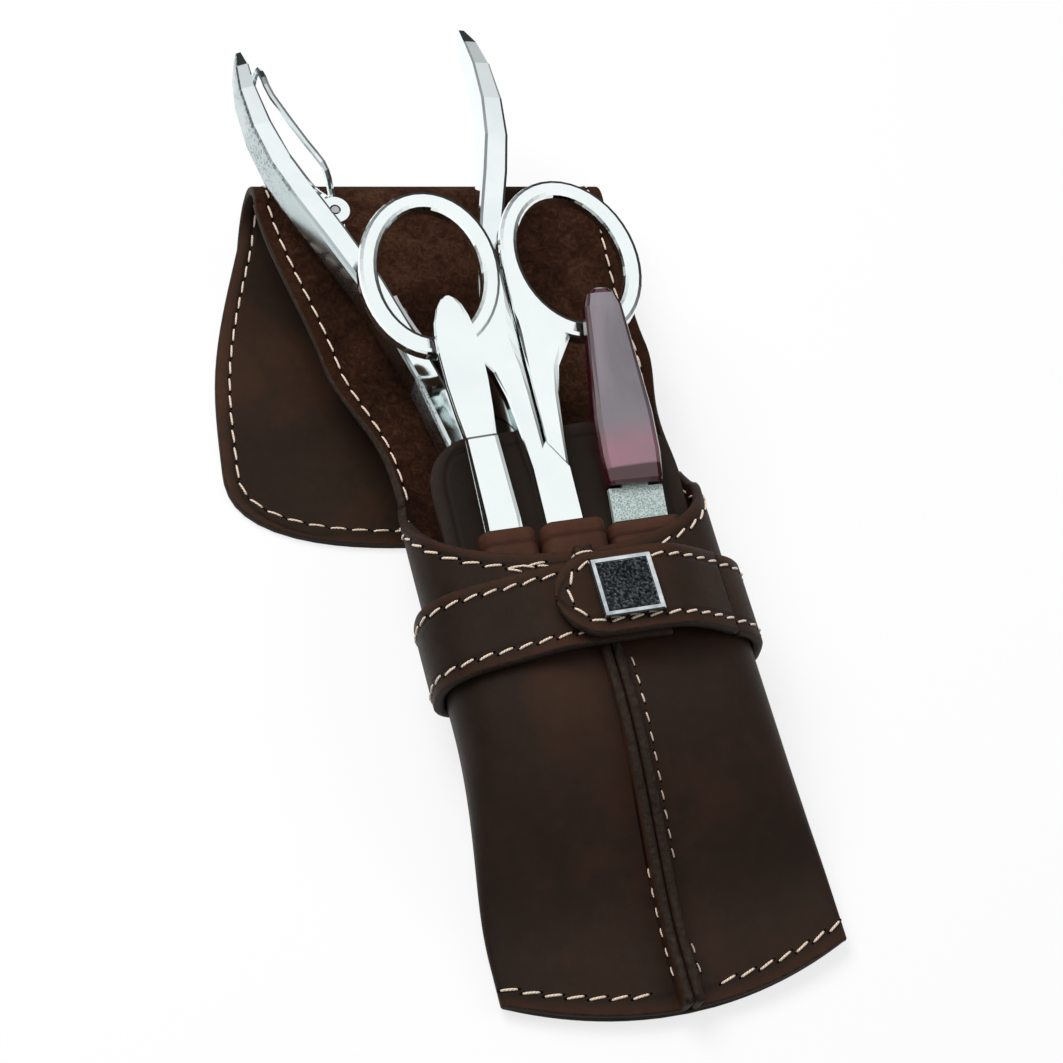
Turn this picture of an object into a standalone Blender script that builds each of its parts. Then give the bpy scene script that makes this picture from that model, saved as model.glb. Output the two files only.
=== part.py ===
"""Manicure set case: a leather tube with a folded-back flap, a snap strap and four tools.

Units are metres and +Z is up. The case lies on its back, head raised, because the
flap is folded under it. Everything is drawn in the case's own frame first: x to the
right, y up the case from its bottom edge, z out of its back. One empty tilts it.
"""
import bmesh
import bpy
from math import asin, atan, atan2, cos, hypot, pi, radians, sin, sqrt, tan
from mathutils import Euler, Matrix, Vector

# Clearance between touching pieces, and the overrun of every cut
GAP = 0.0003
OVERRUN = 0.002

# Leather tube: one sheet closed by a turned-out seam down the front
LEATHER = 0.0015
CASE_WIDTH = 0.058
WAIST_WIDTH_SHARE = 0.90
WAIST_DEPTH = 0.0195
MOUTH_DEPTH = 0.0205
FLAT_END = 0.008
WAIST_Y = 0.050
STRAP_Y = 0.0621
BOTTOM_SAG = 0.0065
SAG_REACH = 0.040
SEAM_FIN_LOW = 0.0042
SEAM_FIN_HIGH = 0.0022
SEAM_FIN_LOW_Y = 0.020
SEAM_BEND = 0.0008
MOUTH_CENTRE_Y = 0.073
MOUTH_SIDE_Y = 0.092
ROUNDNESS_SHARE = 0.74
BACK_ROUNDNESS_SHARE = 0.60
BACK_DEPTH_SHARE = 0.40
FRONT_LEAN_SHARE = 0.11
MOUTH_CURVE_SHARE = 1.6
SIDE_COLUMN_SHARE = 0.42

# Back panel above the mouth, and the line where it folds over
FLATTEN_Y = 0.122
PANEL_WIDTH_SHARE = 1.043
FOLD_WIDTH_SHARE = 1.121
FOLD_X = -0.0040
FOLD_Y = 0.1548
FOLD_SKEW = radians(6.5)
SKIVE_ANGLE = radians(45)

# Flap beyond the fold
BEND_RADIUS = 0.0065
FLAP_LENGTH = 0.0865
FLAP_WIDTH_SHARE = 1.302
FLAP_WIDEST = 0.050
FLAP_TAPER = 0.0030
FLAP_CORNER = 0.016
FLAP_CORNER_SHARE = 2.5

# Strap band, its tab and the snap
STRAP_WIDTH = 0.0148
STRAP_THICKNESS = 0.0018
STRAP_SHOULDER_SHARE = 0.735
BAND_END_X = 0.008
TAB_END_X = -0.0102
CREST_HALF = 0.0080
CREST_FADE = 0.0180
TAB_FADE = 0.0230
SNAP_X = 0.0012
SNAP_GAP = 0.0010
SNAP_HOLE_RADIUS = 0.0012
SNAP_SHANK_RADIUS = 0.0008
STUD_FOOT_RADIUS = 0.0014
STUD_BASE_RADIUS = 0.0034
STUD_BASE_THICKNESS = 0.0004
STUD_NECK_RADIUS = 0.0012
STUD_HEAD_RADIUS = 0.0017
STUD_HEAD_HEIGHT = 0.0007
SOCKET_RADIUS = 0.0030
SOCKET_CAVITY_RADIUS = 0.0022
SOCKET_LID = 0.0004
BADGE_SIZE = 0.0102
BADGE_THICKNESS = 0.0012
BADGE_RIM = 0.0008
BADGE_RECESS = 0.0004

# Divider that stands between the nippers and the three front tools
DIVIDER_THICKNESS = 0.0012
DIVIDER_WIDTH_SHARE = 0.741
DIVIDER_FOOT_Y = 0.038
DIVIDER_KNEE_Y = 0.079
DIVIDER_TOP_Y = 0.0995
DIVIDER_KNEE_Z = 0.0109
DIVIDER_TOP_Z = 0.0125
DIVIDER_CORNER = 0.009
DIVIDER_FOOT_SHARE = 0.6

# Loop strip sewn on the divider, one loop for each front tool
LOOP_LEATHER = 0.0012
LOOP_STRIP_LOW_Y = 0.0680
LOOP_STRIP_TOP_Y = 0.0795
LOOP_SCALLOP = 0.0015
LOOP_TOE = 0.0025
LOOP_FOOT_RADIUS = 0.0010
LOOP_TOP_RADIUS = 0.0014
TWEEZERS_LOOP = (-0.0176, -0.0071, 0.0045)
SCISSORS_LOOP = (-0.0071, 0.0048, 0.0046)
FILE_LOOP = (0.0048, 0.0188, 0.0027)

# Nail nippers
NIPPER_PIVOT = Vector((-0.0092, 0.0995, 0.0055))
NIPPER_LEAN = radians(3.1)
NIPPER_ROLL = radians(2.0)
NIPPER_PITCH = radians(3.0)
NIPPER_HALF_OPEN = radians(11.2)
NIPPER_JOINT_RADIUS = 0.0062
NIPPER_JOINT_DEPTH = 0.0062
NIPPER_RIVET_RADIUS = 0.0017
NIPPER_JAW_TIP_Y = -0.0265
NIPPER_HANDLE_TIP_Y = 0.0885
HANDLE_CORNER_SHARE = 0.26
BAIL_PIN_X = -0.0034
BAIL_PIN_Y = 0.0515
BAIL_PIN_RADIUS = 0.0007
BAIL_WIRE = 0.0013
BAIL_EAR_RADIUS = 0.0026
BAIL_EAR_DEPTH = 0.0066
BAIL_SLOT = 0.0034
BAIL_HALF_WIDTH = 0.0044
BAIL_LENGTH = 0.0322
LEAF_THICKNESS = 0.0006
LEAF_DEPTH = 0.0040
LEAF_SCREW_RADIUS = 0.0011
LEAF_FOOT_Y = 0.030
LEAF_REACH = 0.017
LEAF_BOW = 0.0030

# Nail scissors
SCISSORS_PIVOT = Vector((-0.0016, 0.0790, 0.0134))
SCISSORS_LEAN = radians(-0.7)
SCISSORS_PITCH = radians(5.0)
SCISSORS_THICKNESS = 0.0030
RING_WIRE = 0.0034
RING_DEPTH = 0.0034
RING_CORNER_SHARE = 0.5
RING_HALF_WIDTH = 0.0124
RING_HALF_HEIGHT = 0.0158
RING_CENTRE_Y = 0.0500
RING_TILT = radians(7.0)
BOLSTER_SIDE_Y = 0.0115
BOLSTER_RISE = 0.0050
SCISSORS_PLATE_HALF = 0.0031
BLADE_LENGTH = 0.0330
SCISSORS_SCREW_RADIUS = 0.0013

# Tweezers
TWEEZERS_ORIGIN = Vector((-0.0120, 0.0790, 0.0140))
TWEEZERS_LEAN = radians(1.8)
TWEEZERS_PITCH = radians(11.3)
TWEEZERS_ARM = 0.0009
TWEEZERS_STEP = 0.0005
TWEEZERS_STEP_LOW_Y = 0.0035
TWEEZERS_HEAD_LENGTH = 0.0250
TWEEZERS_HEAD_Y = 0.0180
TWEEZERS_TIP_Y = -0.0430
TWEEZERS_HEAD_WIDTH = 0.0074
TWEEZERS_WAIST_WIDTH = 0.0053
TWEEZERS_BODY_WIDTH = 0.0058
TWEEZERS_TIP_WIDTH = 0.0026
TWEEZERS_TIP_SPREAD = 0.0026

# Nail file
FILE_ORIGIN = Vector((0.0118, 0.0790, 0.0132))
FILE_LEAN = radians(-2.3)
FILE_PITCH = radians(12.7)
FILE_BLADE_WIDTH = 0.0094
FILE_BLADE_THICKNESS = 0.0010
FILE_TIP_Y = -0.0430
FILE_TANG_WIDTH = 0.0046
FILE_TANG_LENGTH = 0.0200
FILE_HANDLE_LOW_Y = 0.0066
FILE_HANDLE_LENGTH = 0.0352
FILE_HANDLE_WIDTH = 0.0106
FILE_HANDLE_FOOT_WIDTH = 0.0098
FILE_HANDLE_TOP_WIDTH = 0.0062
FILE_HANDLE_THICKNESS = 0.0042

COLLECTION = "manicure_set_case"


def smooth(value, low, high):
    """Rise from 0 at low to 1 at high without a corner."""
    t = min(1.0, max(0.0, (value - low) / (high - low)))
    return t * t * (3 - 2 * t)


def mix(a, b, share):
    return a + (b - a) * share


def spread(low, high, count):
    return [mix(low, high, i / count) for i in range(count + 1)]


def smooth_path(points, steps):
    """Points on a smooth curve through the given ones."""
    points = [Vector(p) for p in points]
    padded = [points[0] * 2 - points[1]] + points + [points[-1] * 2 - points[-2]]
    path = []
    for a, b, c, d in zip(padded, padded[1:], padded[2:], padded[3:]):
        for i in range(steps):
            t = i / steps
            path.append(0.5 * (2 * b + (c - a) * t + (2 * a - 5 * b + 4 * c - d) * t ** 2
                               + (3 * b - a - 3 * c + d) * t ** 3))
    return path + [points[-1]]


def read(table, value):
    """Read a smooth value from (place, value, ...) rows, by place."""
    if value <= table[0][0]:
        return table[0][1:]
    for low, high in zip(table, table[1:]):
        if value <= high[0]:
            share = smooth(value, low[0], high[0])
            return tuple(mix(a, b, share) for a, b in zip(low[1:], high[1:]))
    return table[-1][1:]


def clear_scene():
    for obj in list(bpy.data.objects):
        bpy.data.objects.remove(obj, do_unlink=True)


def make_collection(name):
    collection = bpy.data.collections.new(name)
    bpy.context.scene.collection.children.link(collection)
    return collection


def material(name, colour, roughness, metallic):
    made = bpy.data.materials.get(name)
    if made is None:
        made = bpy.data.materials.new(name)
        made.use_nodes = True
        shader = made.node_tree.nodes["Principled BSDF"]
        shader.inputs["Base Color"].default_value = (*colour, 1.0)
        shader.inputs["Roughness"].default_value = roughness
        shader.inputs["Metallic"].default_value = metallic
        made.diffuse_color = (*colour, 1.0)
    return made


def grain_leather():
    return material("grain_leather", (0.040, 0.022, 0.015), 0.55, 0.0)


def divider_leather():
    return material("divider_leather", (0.045, 0.036, 0.032), 0.50, 0.0)


def chrome():
    return material("chrome", (0.80, 0.82, 0.84), 0.10, 1.0)


def steel():
    return material("steel", (0.55, 0.57, 0.58), 0.35, 1.0)


def file_grit():
    return material("file_grit", (0.42, 0.44, 0.46), 0.60, 0.8)


def burgundy_plastic():
    return material("burgundy_plastic", (0.16, 0.012, 0.030), 0.12, 0.0)


def empty(name, parent=None, location=(0, 0, 0), rotation=(0, 0, 0)):
    obj = bpy.data.objects.new(name, None)
    obj.location = location
    obj.rotation_euler = rotation
    obj.parent = parent
    obj.empty_display_size = LEATHER
    parts.objects.link(obj)
    return obj


def place(name, mesh, parent, finish, location=(0, 0, 0)):
    obj = bpy.data.objects.new(name, mesh)
    obj.location = location
    obj.parent = parent
    if finish is not None:
        mesh.materials.append(finish)
    parts.objects.link(obj)
    return obj


def shade(mesh, angle=radians(35)):
    mesh.shade_smooth()
    mesh.set_sharp_from_angle(angle=angle)


def mesh_from(bm, name):
    bmesh.ops.recalc_face_normals(bm, faces=bm.faces)
    mesh = bpy.data.meshes.new(name)
    bm.to_mesh(mesh)
    bm.free()
    shade(mesh)
    return mesh


def as_mesh(obj):
    """Turn a curve object into a mesh object with welded caps."""
    bpy.context.view_layer.update()
    source = obj.evaluated_get(bpy.context.evaluated_depsgraph_get())
    mesh = bpy.data.meshes.new_from_object(source)
    bm = bmesh.new()
    bm.from_mesh(mesh)
    bmesh.ops.remove_doubles(bm, verts=bm.verts, dist=GAP / 100)
    bm.to_mesh(mesh)
    bm.free()
    made = bpy.data.objects.new(obj.name + "_mesh", mesh)
    made.parent = obj.parent
    made.matrix_local = obj.matrix_local
    parts.objects.link(made)
    bpy.data.objects.remove(obj, do_unlink=True)
    return made


def rename(obj, name):
    obj.name = name
    obj.data.name = name
    return obj


def wire(name, points, diameter, parent, cyclic=False, finish=None):
    """A round wire along the points."""
    curve = bpy.data.curves.new(name + "_curve", "CURVE")
    curve.dimensions = "3D"
    curve.bevel_depth = diameter / 2
    curve.bevel_resolution = 2
    curve.use_fill_caps = not cyclic
    spline = curve.splines.new("POLY")
    spline.points.add(len(points) - 1)
    for slot, point in zip(spline.points, points):
        slot.co = (*point, 1.0)
    spline.use_cyclic_u = cyclic
    obj = bpy.data.objects.new(name + "_curve", curve)
    obj.parent = parent
    parts.objects.link(obj)
    obj = rename(as_mesh(obj), name)
    shade(obj.data, radians(50))
    if finish is not None:
        obj.data.materials.append(finish)
    return obj


def sheet(name, grid, thickness, parent, finish):
    """A leather sheet: grid maps (row, column) to a point on its middle surface."""
    bm = bmesh.new()
    corners = {key: bm.verts.new(point) for key, point in grid.items()}
    for row, column in grid:
        square = [(row, column), (row, column + 1), (row + 1, column + 1), (row + 1, column)]
        if all(key in corners for key in square):
            bm.faces.new([corners[key] for key in square])
    obj = place(name, mesh_from(bm, name), parent, finish)
    solid = obj.modifiers.new("thickness", "SOLIDIFY")
    solid.thickness = thickness
    solid.offset = 0
    solid.use_even_offset = True
    return obj


def loft(name, rings, parent, finish):
    """A closed solid through rings of the same count, capped at both ends."""
    bm = bmesh.new()
    loops = [[bm.verts.new(point) for point in ring] for ring in rings]
    for low, high in zip(loops, loops[1:]):
        for i in range(len(low)):
            j = (i + 1) % len(low)
            bm.faces.new((low[i], low[j], high[j], high[i]))
    bm.faces.new(list(reversed(loops[0])))
    bm.faces.new(loops[-1])
    return place(name, mesh_from(bm, name), parent, finish)


def oval(y, x_low, x_high, z_low, z_high, share, sides=12):
    """A ring round the y axis: an oval whose corners fill out as share falls."""
    ring = []
    for i in range(sides):
        angle = 2 * pi * (i + 0.5) / sides
        across = abs(cos(angle)) ** share * (1 if cos(angle) > 0 else -1)
        deep = abs(sin(angle)) ** share * (1 if sin(angle) > 0 else -1)
        ring.append(Vector((mix(x_low, x_high, (across + 1) / 2), y, mix(z_low, z_high, (deep + 1) / 2))))
    return ring


def box(name, low, high, parent, finish):
    bm = bmesh.new()
    bmesh.ops.create_cube(bm, size=1)
    low, high = Vector(low), Vector(high)
    for vert in bm.verts:
        vert.co = Vector(mix(low[i], high[i], vert.co[i] + 0.5) for i in range(3))
    return place(name, mesh_from(bm, name), parent, finish)


def disc(name, radius, z_low, z_high, parent, finish, centre=(0, 0), sides=40):
    bm = bmesh.new()
    bmesh.ops.create_cone(bm, cap_ends=True, segments=sides, radius1=radius, radius2=radius, depth=1)
    for vert in bm.verts:
        vert.co = Vector((vert.co.x + centre[0], vert.co.y + centre[1], mix(z_low, z_high, vert.co.z + 0.5)))
    return place(name, mesh_from(bm, name), parent, finish)


def prism(name, outline, z_low, z_high, parent, finish):
    """A flat outline in x and y, with straight sides from z_low to z_high."""
    bm = bmesh.new()
    low = [bm.verts.new((x, y, z_low)) for x, y in outline]
    high = [bm.verts.new((x, y, z_high)) for x, y in outline]
    for i in range(len(outline)):
        j = (i + 1) % len(outline)
        bm.faces.new((low[i], low[j], high[j], high[i]))
    bm.faces.new(list(reversed(low)))
    bm.faces.new(high)
    return place(name, mesh_from(bm, name), parent, finish)


def turned(name, profile, parent, finish, location, steps=32):
    """A turned piece: (radius, height) points, from axis to axis or round a ring's section."""
    bm = bmesh.new()
    verts = [bm.verts.new((radius, 0, height)) for radius, height in profile]
    ring = verts[1:] if profile[0][0] == 0 else verts[1:] + verts[:1]
    for a, b in zip(verts, ring):
        bm.edges.new((a, b))
    mesh = bpy.data.meshes.new(name)
    bm.to_mesh(mesh)
    bm.free()
    obj = place(name, mesh, parent, finish, location)
    screw = obj.modifiers.new("turn", "SCREW")
    screw.steps = steps
    screw.render_steps = steps
    screw.use_merge_vertices = True
    screw.merge_threshold = 0.00001
    screw.use_normal_calculate = True
    screw.use_normal_flip = True
    return obj


def boolean(obj, other, operation):
    """Cut or join, and keep the other body out of sight among the cutters."""
    step = obj.modifiers.new(operation.lower(), "BOOLEAN")
    step.object = other
    step.operation = operation
    step.solver = "EXACT"
    if other.name not in cutters.objects:
        parts.objects.unlink(other)
        cutters.objects.link(other)
    other.hide_render = True
    other.display_type = "WIRE"


def bevel(obj, width, segments=2, angle=radians(40)):
    step = obj.modifiers.new("edges", "BEVEL")
    step.width = width
    step.segments = segments
    step.limit_method = "ANGLE"
    step.angle_limit = angle


# The tube's section


def tube_width(y):
    """Half width of the tube's middle surface."""
    return mix(CASE_WIDTH - LEATHER, CASE_WIDTH * WAIST_WIDTH_SHARE - LEATHER, smooth(y, FLAT_END, WAIST_Y)) / 2


def tube_depth(y):
    """Distance from the middle of the back leather to the middle of the front leather."""
    flat = LEATHER + GAP
    waist = WAIST_DEPTH - LEATHER
    mouth = MOUTH_DEPTH - LEATHER
    flare = STRAP_Y + STRAP_WIDTH / 2 + LEATHER
    return mix(flat, waist, smooth(y, FLAT_END, WAIST_Y)) + (mouth - waist) * smooth(y, flare, MOUTH_SIDE_Y)


def tube_point(share, y, out=0.0):
    """A point round the section: 0 at the middle of the back, 1 or -1 at the front seam."""
    width = tube_width(y) + out
    depth = tube_depth(y)
    side = 1 if share >= 0 else -1
    angle = pi * abs(share)
    x = side * width * abs(sin(angle)) ** ROUNDNESS_SHARE
    middle = depth * BACK_DEPTH_SHARE
    if abs(share) < 0.5:
        z = middle - (middle + out) * abs(cos(angle)) ** BACK_ROUNDNESS_SHARE
    else:
        z = middle + (depth - middle + out) * abs(cos(angle)) ** ROUNDNESS_SHARE
    return Vector((x - FRONT_LEAN_SHARE * z, y, z + LEATHER / 2))


def fin_height(y):
    return mix(SEAM_FIN_LOW, SEAM_FIN_HIGH, smooth(y, SEAM_FIN_LOW_Y, STRAP_Y - STRAP_WIDTH / 2))


def fin_point(side, y, rise_share):
    """The seam's turned-out edge: 0 where it leaves the front, 1 at its raw edge."""
    root = tube_point(1.0, y)
    half = (LEATHER + GAP) / 2
    if rise_share == 0:
        return root + Vector((side * (half + SEAM_BEND), 0, 0))
    if rise_share < 1:
        bend = SEAM_BEND * (1 - sqrt(0.5))
        return root + Vector((side * (half + bend), 0, bend))
    return root + Vector((side * half, 0, fin_height(y)))


BACK_COLUMN_SHARES = (0.0, 0.10, 0.20, 0.30, 0.37, SIDE_COLUMN_SHARE)
FRONT_COLUMN_SHARES = (0.46, 0.50, 0.54, 0.60, 0.68, 0.77, 0.86, 0.93)
FIN_SHARES = (0.0, 0.5, 1.0)
BODY_ROW_SHARES = (0.0, 0.04, 0.085, 0.13, 0.19, 0.26, 0.34, 0.42, 0.50, 0.58, 0.66, 0.74, 0.82, 0.91, 1.0)
PANEL_ROW_SHARES = (0.0, 0.09, 0.20, 0.33, 0.48, 0.65, 0.83, 1.0)


def sag(x, y):
    """The bottom edge is cut to a shallow arc."""
    return BOTTOM_SAG * (2 * x / CASE_WIDTH) ** 2 * (1 - smooth(y, 0, SAG_REACH))


def mouth_drop(share):
    """How far the mouth's edge lies below the side's, at a place round the front."""
    along = (1 - share) / (1 - SIDE_COLUMN_SHARE)
    return (MOUTH_SIDE_Y - MOUTH_CENTRE_Y) * (1 - along ** MOUTH_CURVE_SHARE)


def panel_half_width(y):
    lower = tube_width(MOUTH_SIDE_Y) * sin(pi * SIDE_COLUMN_SHARE) ** ROUNDNESS_SHARE
    width = mix(lower, (CASE_WIDTH * PANEL_WIDTH_SHARE - LEATHER) / 2, smooth(y, MOUTH_SIDE_Y, FLATTEN_Y))
    return mix(width, CASE_WIDTH * FOLD_WIDTH_SHARE / 2, smooth(y, FLATTEN_Y, FOLD_Y))


def panel_point(share, y):
    """A point of the back panel above the mouth: share runs from -1 to 1 across it."""
    closed = tube_point(share * SIDE_COLUMN_SHARE, y)
    flat = Vector((share * panel_half_width(y), y, LEATHER / 2))
    point = closed.lerp(flat, smooth(y, MOUTH_SIDE_Y, FLATTEN_Y))
    late = smooth(y, MOUTH_SIDE_Y, FOLD_Y)
    point.x += FOLD_X * late
    point.y -= tan(FOLD_SKEW) * (point.x - FOLD_X) * late
    return point


def tube_row_y(share, row_y):
    """Where a row of the tube's grid lies at a place round the section."""
    if abs(share) <= SIDE_COLUMN_SHARE:
        return row_y
    low = MOUTH_SIDE_Y / 2
    return row_y - mouth_drop(abs(share)) * smooth(row_y, low, MOUTH_SIDE_Y)


def body_columns():
    """(kind, side, share) for each column, from one raw seam edge round to the other."""
    half = [("tube", share) for share in BACK_COLUMN_SHARES + FRONT_COLUMN_SHARES]
    half += [("fin", share) for share in FIN_SHARES]
    left = [(kind, -1, share) for kind, share in reversed(half[1:])]
    return left + [(kind, 1, share) for kind, share in half]


def body_grid(extra):
    """The tube and the back panel as one grid; extra runs the panel past the fold."""
    grid = {}
    columns = body_columns()
    rows = [MOUTH_SIDE_Y * share for share in BODY_ROW_SHARES]
    for row, row_y in enumerate(rows):
        for column, (kind, side, share) in enumerate(columns):
            if kind == "tube":
                y = tube_row_y(share, row_y)
                point = tube_point(side * share, y)
            else:
                y = tube_row_y(1.0, row_y)
                point = fin_point(side, y, share)
            point.y += sag(point.x, y)
            grid[row, column] = point
    panel_rows = [mix(MOUTH_SIDE_Y, FOLD_Y, share) for share in PANEL_ROW_SHARES[1:]]
    panel_rows[-1] += extra
    for extra_row, row_y in enumerate(panel_rows):
        for column, (kind, side, share) in enumerate(columns):
            if kind == "tube" and share <= SIDE_COLUMN_SHARE:
                grid[len(rows) + extra_row, column] = panel_point(side * share / SIDE_COLUMN_SHARE, row_y)
    return grid


# The fold, and how far it raises the case's head


def fold_axes():
    """Unit vectors along the fold and across it, in the panel's plane."""
    along = Vector((cos(FOLD_SKEW), -sin(FOLD_SKEW), 0))
    across = Vector((sin(FOLD_SKEW), cos(FOLD_SKEW), 0))
    return along, across


def fold_point():
    return Vector((FOLD_X, FOLD_Y, LEATHER / 2))


def lowest_bottom_point():
    """The point of the bottom edge that lies furthest from the fold."""
    x = -tan(FOLD_SKEW) * (CASE_WIDTH / 2) ** 2 / (2 * BOTTOM_SAG)
    return Vector((x, BOTTOM_SAG * (2 * x / CASE_WIDTH) ** 2, 0))


def wedge_angle():
    """The tilt at which the flap lies flat on what the bottom edge stands on."""
    reach = (fold_point() - lowest_bottom_point()).dot(fold_axes()[1])
    half = (reach - sqrt(reach ** 2 - 2 * LEATHER * BEND_RADIUS)) / LEATHER
    return 2 * atan(half)


def flap_point(across_x, along_v):
    """A point of the flap: x from its middle line, v along the leather from the fold."""
    along, across = fold_axes()
    turn = pi + wedge_angle()
    arc = BEND_RADIUS * turn
    angle = min(along_v, arc) / BEND_RADIUS
    g = BEND_RADIUS * sin(angle)
    z = -BEND_RADIUS + BEND_RADIUS * cos(angle)
    if along_v > arc:
        g += (along_v - arc) * cos(turn)
        z -= (along_v - arc) * sin(turn)
    drift = across_x - tan(FOLD_SKEW) * max(0, along_v - arc)
    return fold_point() + along * drift + across * g + Vector((0, 0, z))


def flap_half_width(v):
    """Half width of the flap: it swells, and its two corners are rounded."""
    half = CASE_WIDTH * mix(FOLD_WIDTH_SHARE, FLAP_WIDTH_SHARE, smooth(v, 0, FLAP_WIDEST)) / 2
    half -= FLAP_TAPER * smooth(v, FLAP_WIDEST, FLAP_LENGTH)
    into = max(0, v - (FLAP_LENGTH - FLAP_CORNER)) / FLAP_CORNER
    return half * max(0, 1 - into ** FLAP_CORNER_SHARE) ** (1 / FLAP_CORNER_SHARE)


def flap_hinge():
    """Where the flap turns so that it opens out level with the back panel."""
    turn = pi + wedge_angle()
    end = Vector((BEND_RADIUS * sin(turn), -BEND_RADIUS + BEND_RADIUS * cos(turn)))
    spun = Matrix.Rotation(turn, 2) @ end
    offset = Vector((BEND_RADIUS * turn, 0)) - spun
    solve = (Matrix.Identity(2) - Matrix.Rotation(turn, 2)).inverted()
    g, z = solve @ offset
    return fold_point() + fold_axes()[1] * g + Vector((0, 0, z))


def case_matrix():
    """Tilt the case about the fold's direction and stand it on z = 0, flap at the origin."""
    tilt = Matrix.Rotation(wedge_angle(), 4, fold_axes()[0])
    rest = tilt @ rest_point()
    return Matrix.Translation(-rest) @ tilt


def rest_point():
    """The middle of the flap's lower side, in the case frame."""
    v = mix(BEND_RADIUS * (pi + wedge_angle()), FLAP_LENGTH, 0.5)
    normal = Matrix.Rotation(-wedge_angle(), 3, fold_axes()[0]) @ Vector((0, 0, -1))
    return flap_point(0, v) + normal * LEATHER / 2


def skive_cutter(name, keep_low, parent):
    """A slab that cuts a sloping end at the fold: under the panel, over the flap."""
    reach = CASE_WIDTH * FOLD_WIDTH_SHARE
    frame = empty(name + "_frame", parent, fold_point(), (0, 0, -FOLD_SKEW))
    lean = empty(name + "_lean", frame, rotation=(-SKIVE_ANGLE, 0, 0))
    if keep_low:
        low, high = (-reach, GAP / 2 * -1, -OVERRUN * 2), (reach, OVERRUN * 2, OVERRUN * 2)
    else:
        low, high = (-reach, -OVERRUN * 2, -OVERRUN * 2), (reach, GAP / 2, OVERRUN * 2)
    return box(name, low, high, lean, None)


def make_body(frame):
    body = sheet("body_shell", body_grid(OVERRUN), LEATHER, frame, grain_leather())
    boolean(body, skive_cutter("panel_skive_cutter", True, frame), "DIFFERENCE")
    return body


def make_flap(frame):
    """The flap turns about its hinge line, which lies beyond the fold."""
    rows = [-OVERRUN / 2] + spread(0, BEND_RADIUS * (pi + wedge_angle()), 9)
    rows += [mix(rows[-1], FLAP_LENGTH - FLAP_CORNER, share) for share in (0.33, 0.66, 1.0)]
    rows += [FLAP_LENGTH - FLAP_CORNER * share for share in (0.75, 0.52, 0.33, 0.18, 0.08, 0.02, 0.002)]
    grid = {}
    for row, v in enumerate(rows):
        half = flap_half_width(v)
        for column, share in enumerate((-1, -0.8, -0.4, 0, 0.4, 0.8, 1)):
            grid[row, column] = flap_point(half * share, v) if v > 0 else panel_end_point(share, v)
    flap = sheet("flap_panel", grid, LEATHER, frame, grain_leather())
    boolean(flap, skive_cutter("flap_skive_cutter", False, frame), "DIFFERENCE")
    move_origin(flap, flap_hinge())
    return flap


def panel_end_point(share, v):
    """A point just below the fold, in the panel's plane."""
    along, across = fold_axes()
    return fold_point() + along * (share * CASE_WIDTH * FOLD_WIDTH_SHARE / 2) + across * v


def move_origin(obj, point):
    """Put an object's origin on a point of its parent's frame, with its mesh where it was."""
    obj.data.transform(Matrix.Translation(-Vector(point)))
    obj.location = point


# Strap, tab and snap


def strap_offset():
    return LEATHER / 2 + GAP + STRAP_THICKNESS / 2


def fin_top_lift():
    """How far the band is lifted where it crosses the seam."""
    return SEAM_FIN_HIGH - LEATHER / 2


def strap_point(share, lift, fade):
    """A point of the strap's middle surface round the section, lifted over the front's middle."""
    point = tube_point(share, STRAP_Y, strap_offset())
    if abs(share) > 0.5:
        near = 1 - smooth(abs(point.x), CREST_HALF, fade)
        point.z += lift * near
    return point


def share_at_x(x):
    """Where round the front the strap's middle surface has a given x."""
    low, high = 0.5, 1.0
    side = 1 if x >= tube_point(1.0, STRAP_Y, strap_offset()).x else -1
    for _ in range(40):
        middle = (low + high) / 2
        beyond = (tube_point(side * middle, STRAP_Y, strap_offset()).x - x) * side
        low, high = (middle, high) if beyond > 0 else (low, middle)
    return side * low


def strap_rows(path, widths):
    """The strap's grid: path points with a half width at each."""
    grid = {}
    for row, (point, half) in enumerate(zip(path, widths)):
        for column, share in enumerate((-1, -0.5, 0, 0.5, 1)):
            grid[row, column] = point + Vector((0, share * half, 0))
    return grid


def band_path():
    """From the right shoulder, round the back, to the band's end under the tab."""
    lift = fin_top_lift()
    round_back = spread(STRAP_SHOULDER_SHARE, -STRAP_SHOULDER_SHARE, 46)
    path = [strap_point(share, lift, CREST_FADE) for share in round_back]
    shoulder = path[-1].x
    seam = tube_point(1.0, STRAP_Y).x
    for x in spread(shoulder, seam, 8)[1:]:
        path.append(strap_point(share_at_x(x), lift, CREST_FADE))
    for x in spread(seam, BAND_END_X, 4)[1:]:
        path.append(strap_point(share_at_x(x), lift, CREST_FADE))
    return path


def tab_lift_height():
    return fin_top_lift() + STRAP_THICKNESS + SNAP_GAP


def tab_path():
    """From the right shoulder over the front to the tab's round end."""
    lift = tab_lift_height()
    shoulder = strap_point(STRAP_SHOULDER_SHARE, lift, TAB_FADE)
    seam = tube_point(1.0, STRAP_Y).x
    round_start = TAB_END_X + STRAP_WIDTH / 2
    places = spread(shoulder.x, seam, 12)[:-1] + spread(seam, round_start, 2)[:-1]
    path = [strap_point(share_at_x(x), lift, TAB_FADE) for x in places]
    path[0] = shoulder
    widths = [STRAP_WIDTH / 2] * len(path)
    for turn in (0, 25, 45, 60, 72, 82, 88):
        x = round_start - (STRAP_WIDTH / 2) * sin(radians(turn))
        path.append(strap_point(share_at_x(x), lift, TAB_FADE))
        widths.append(STRAP_WIDTH / 2 * cos(radians(turn)))
    return path, widths


def step_along(path, distance):
    """Move the first point of a path along it, to leave a gap to its neighbour."""
    ahead = (path[1] - path[0]).normalized()
    return [path[0] + ahead * distance] + path[1:]


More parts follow.
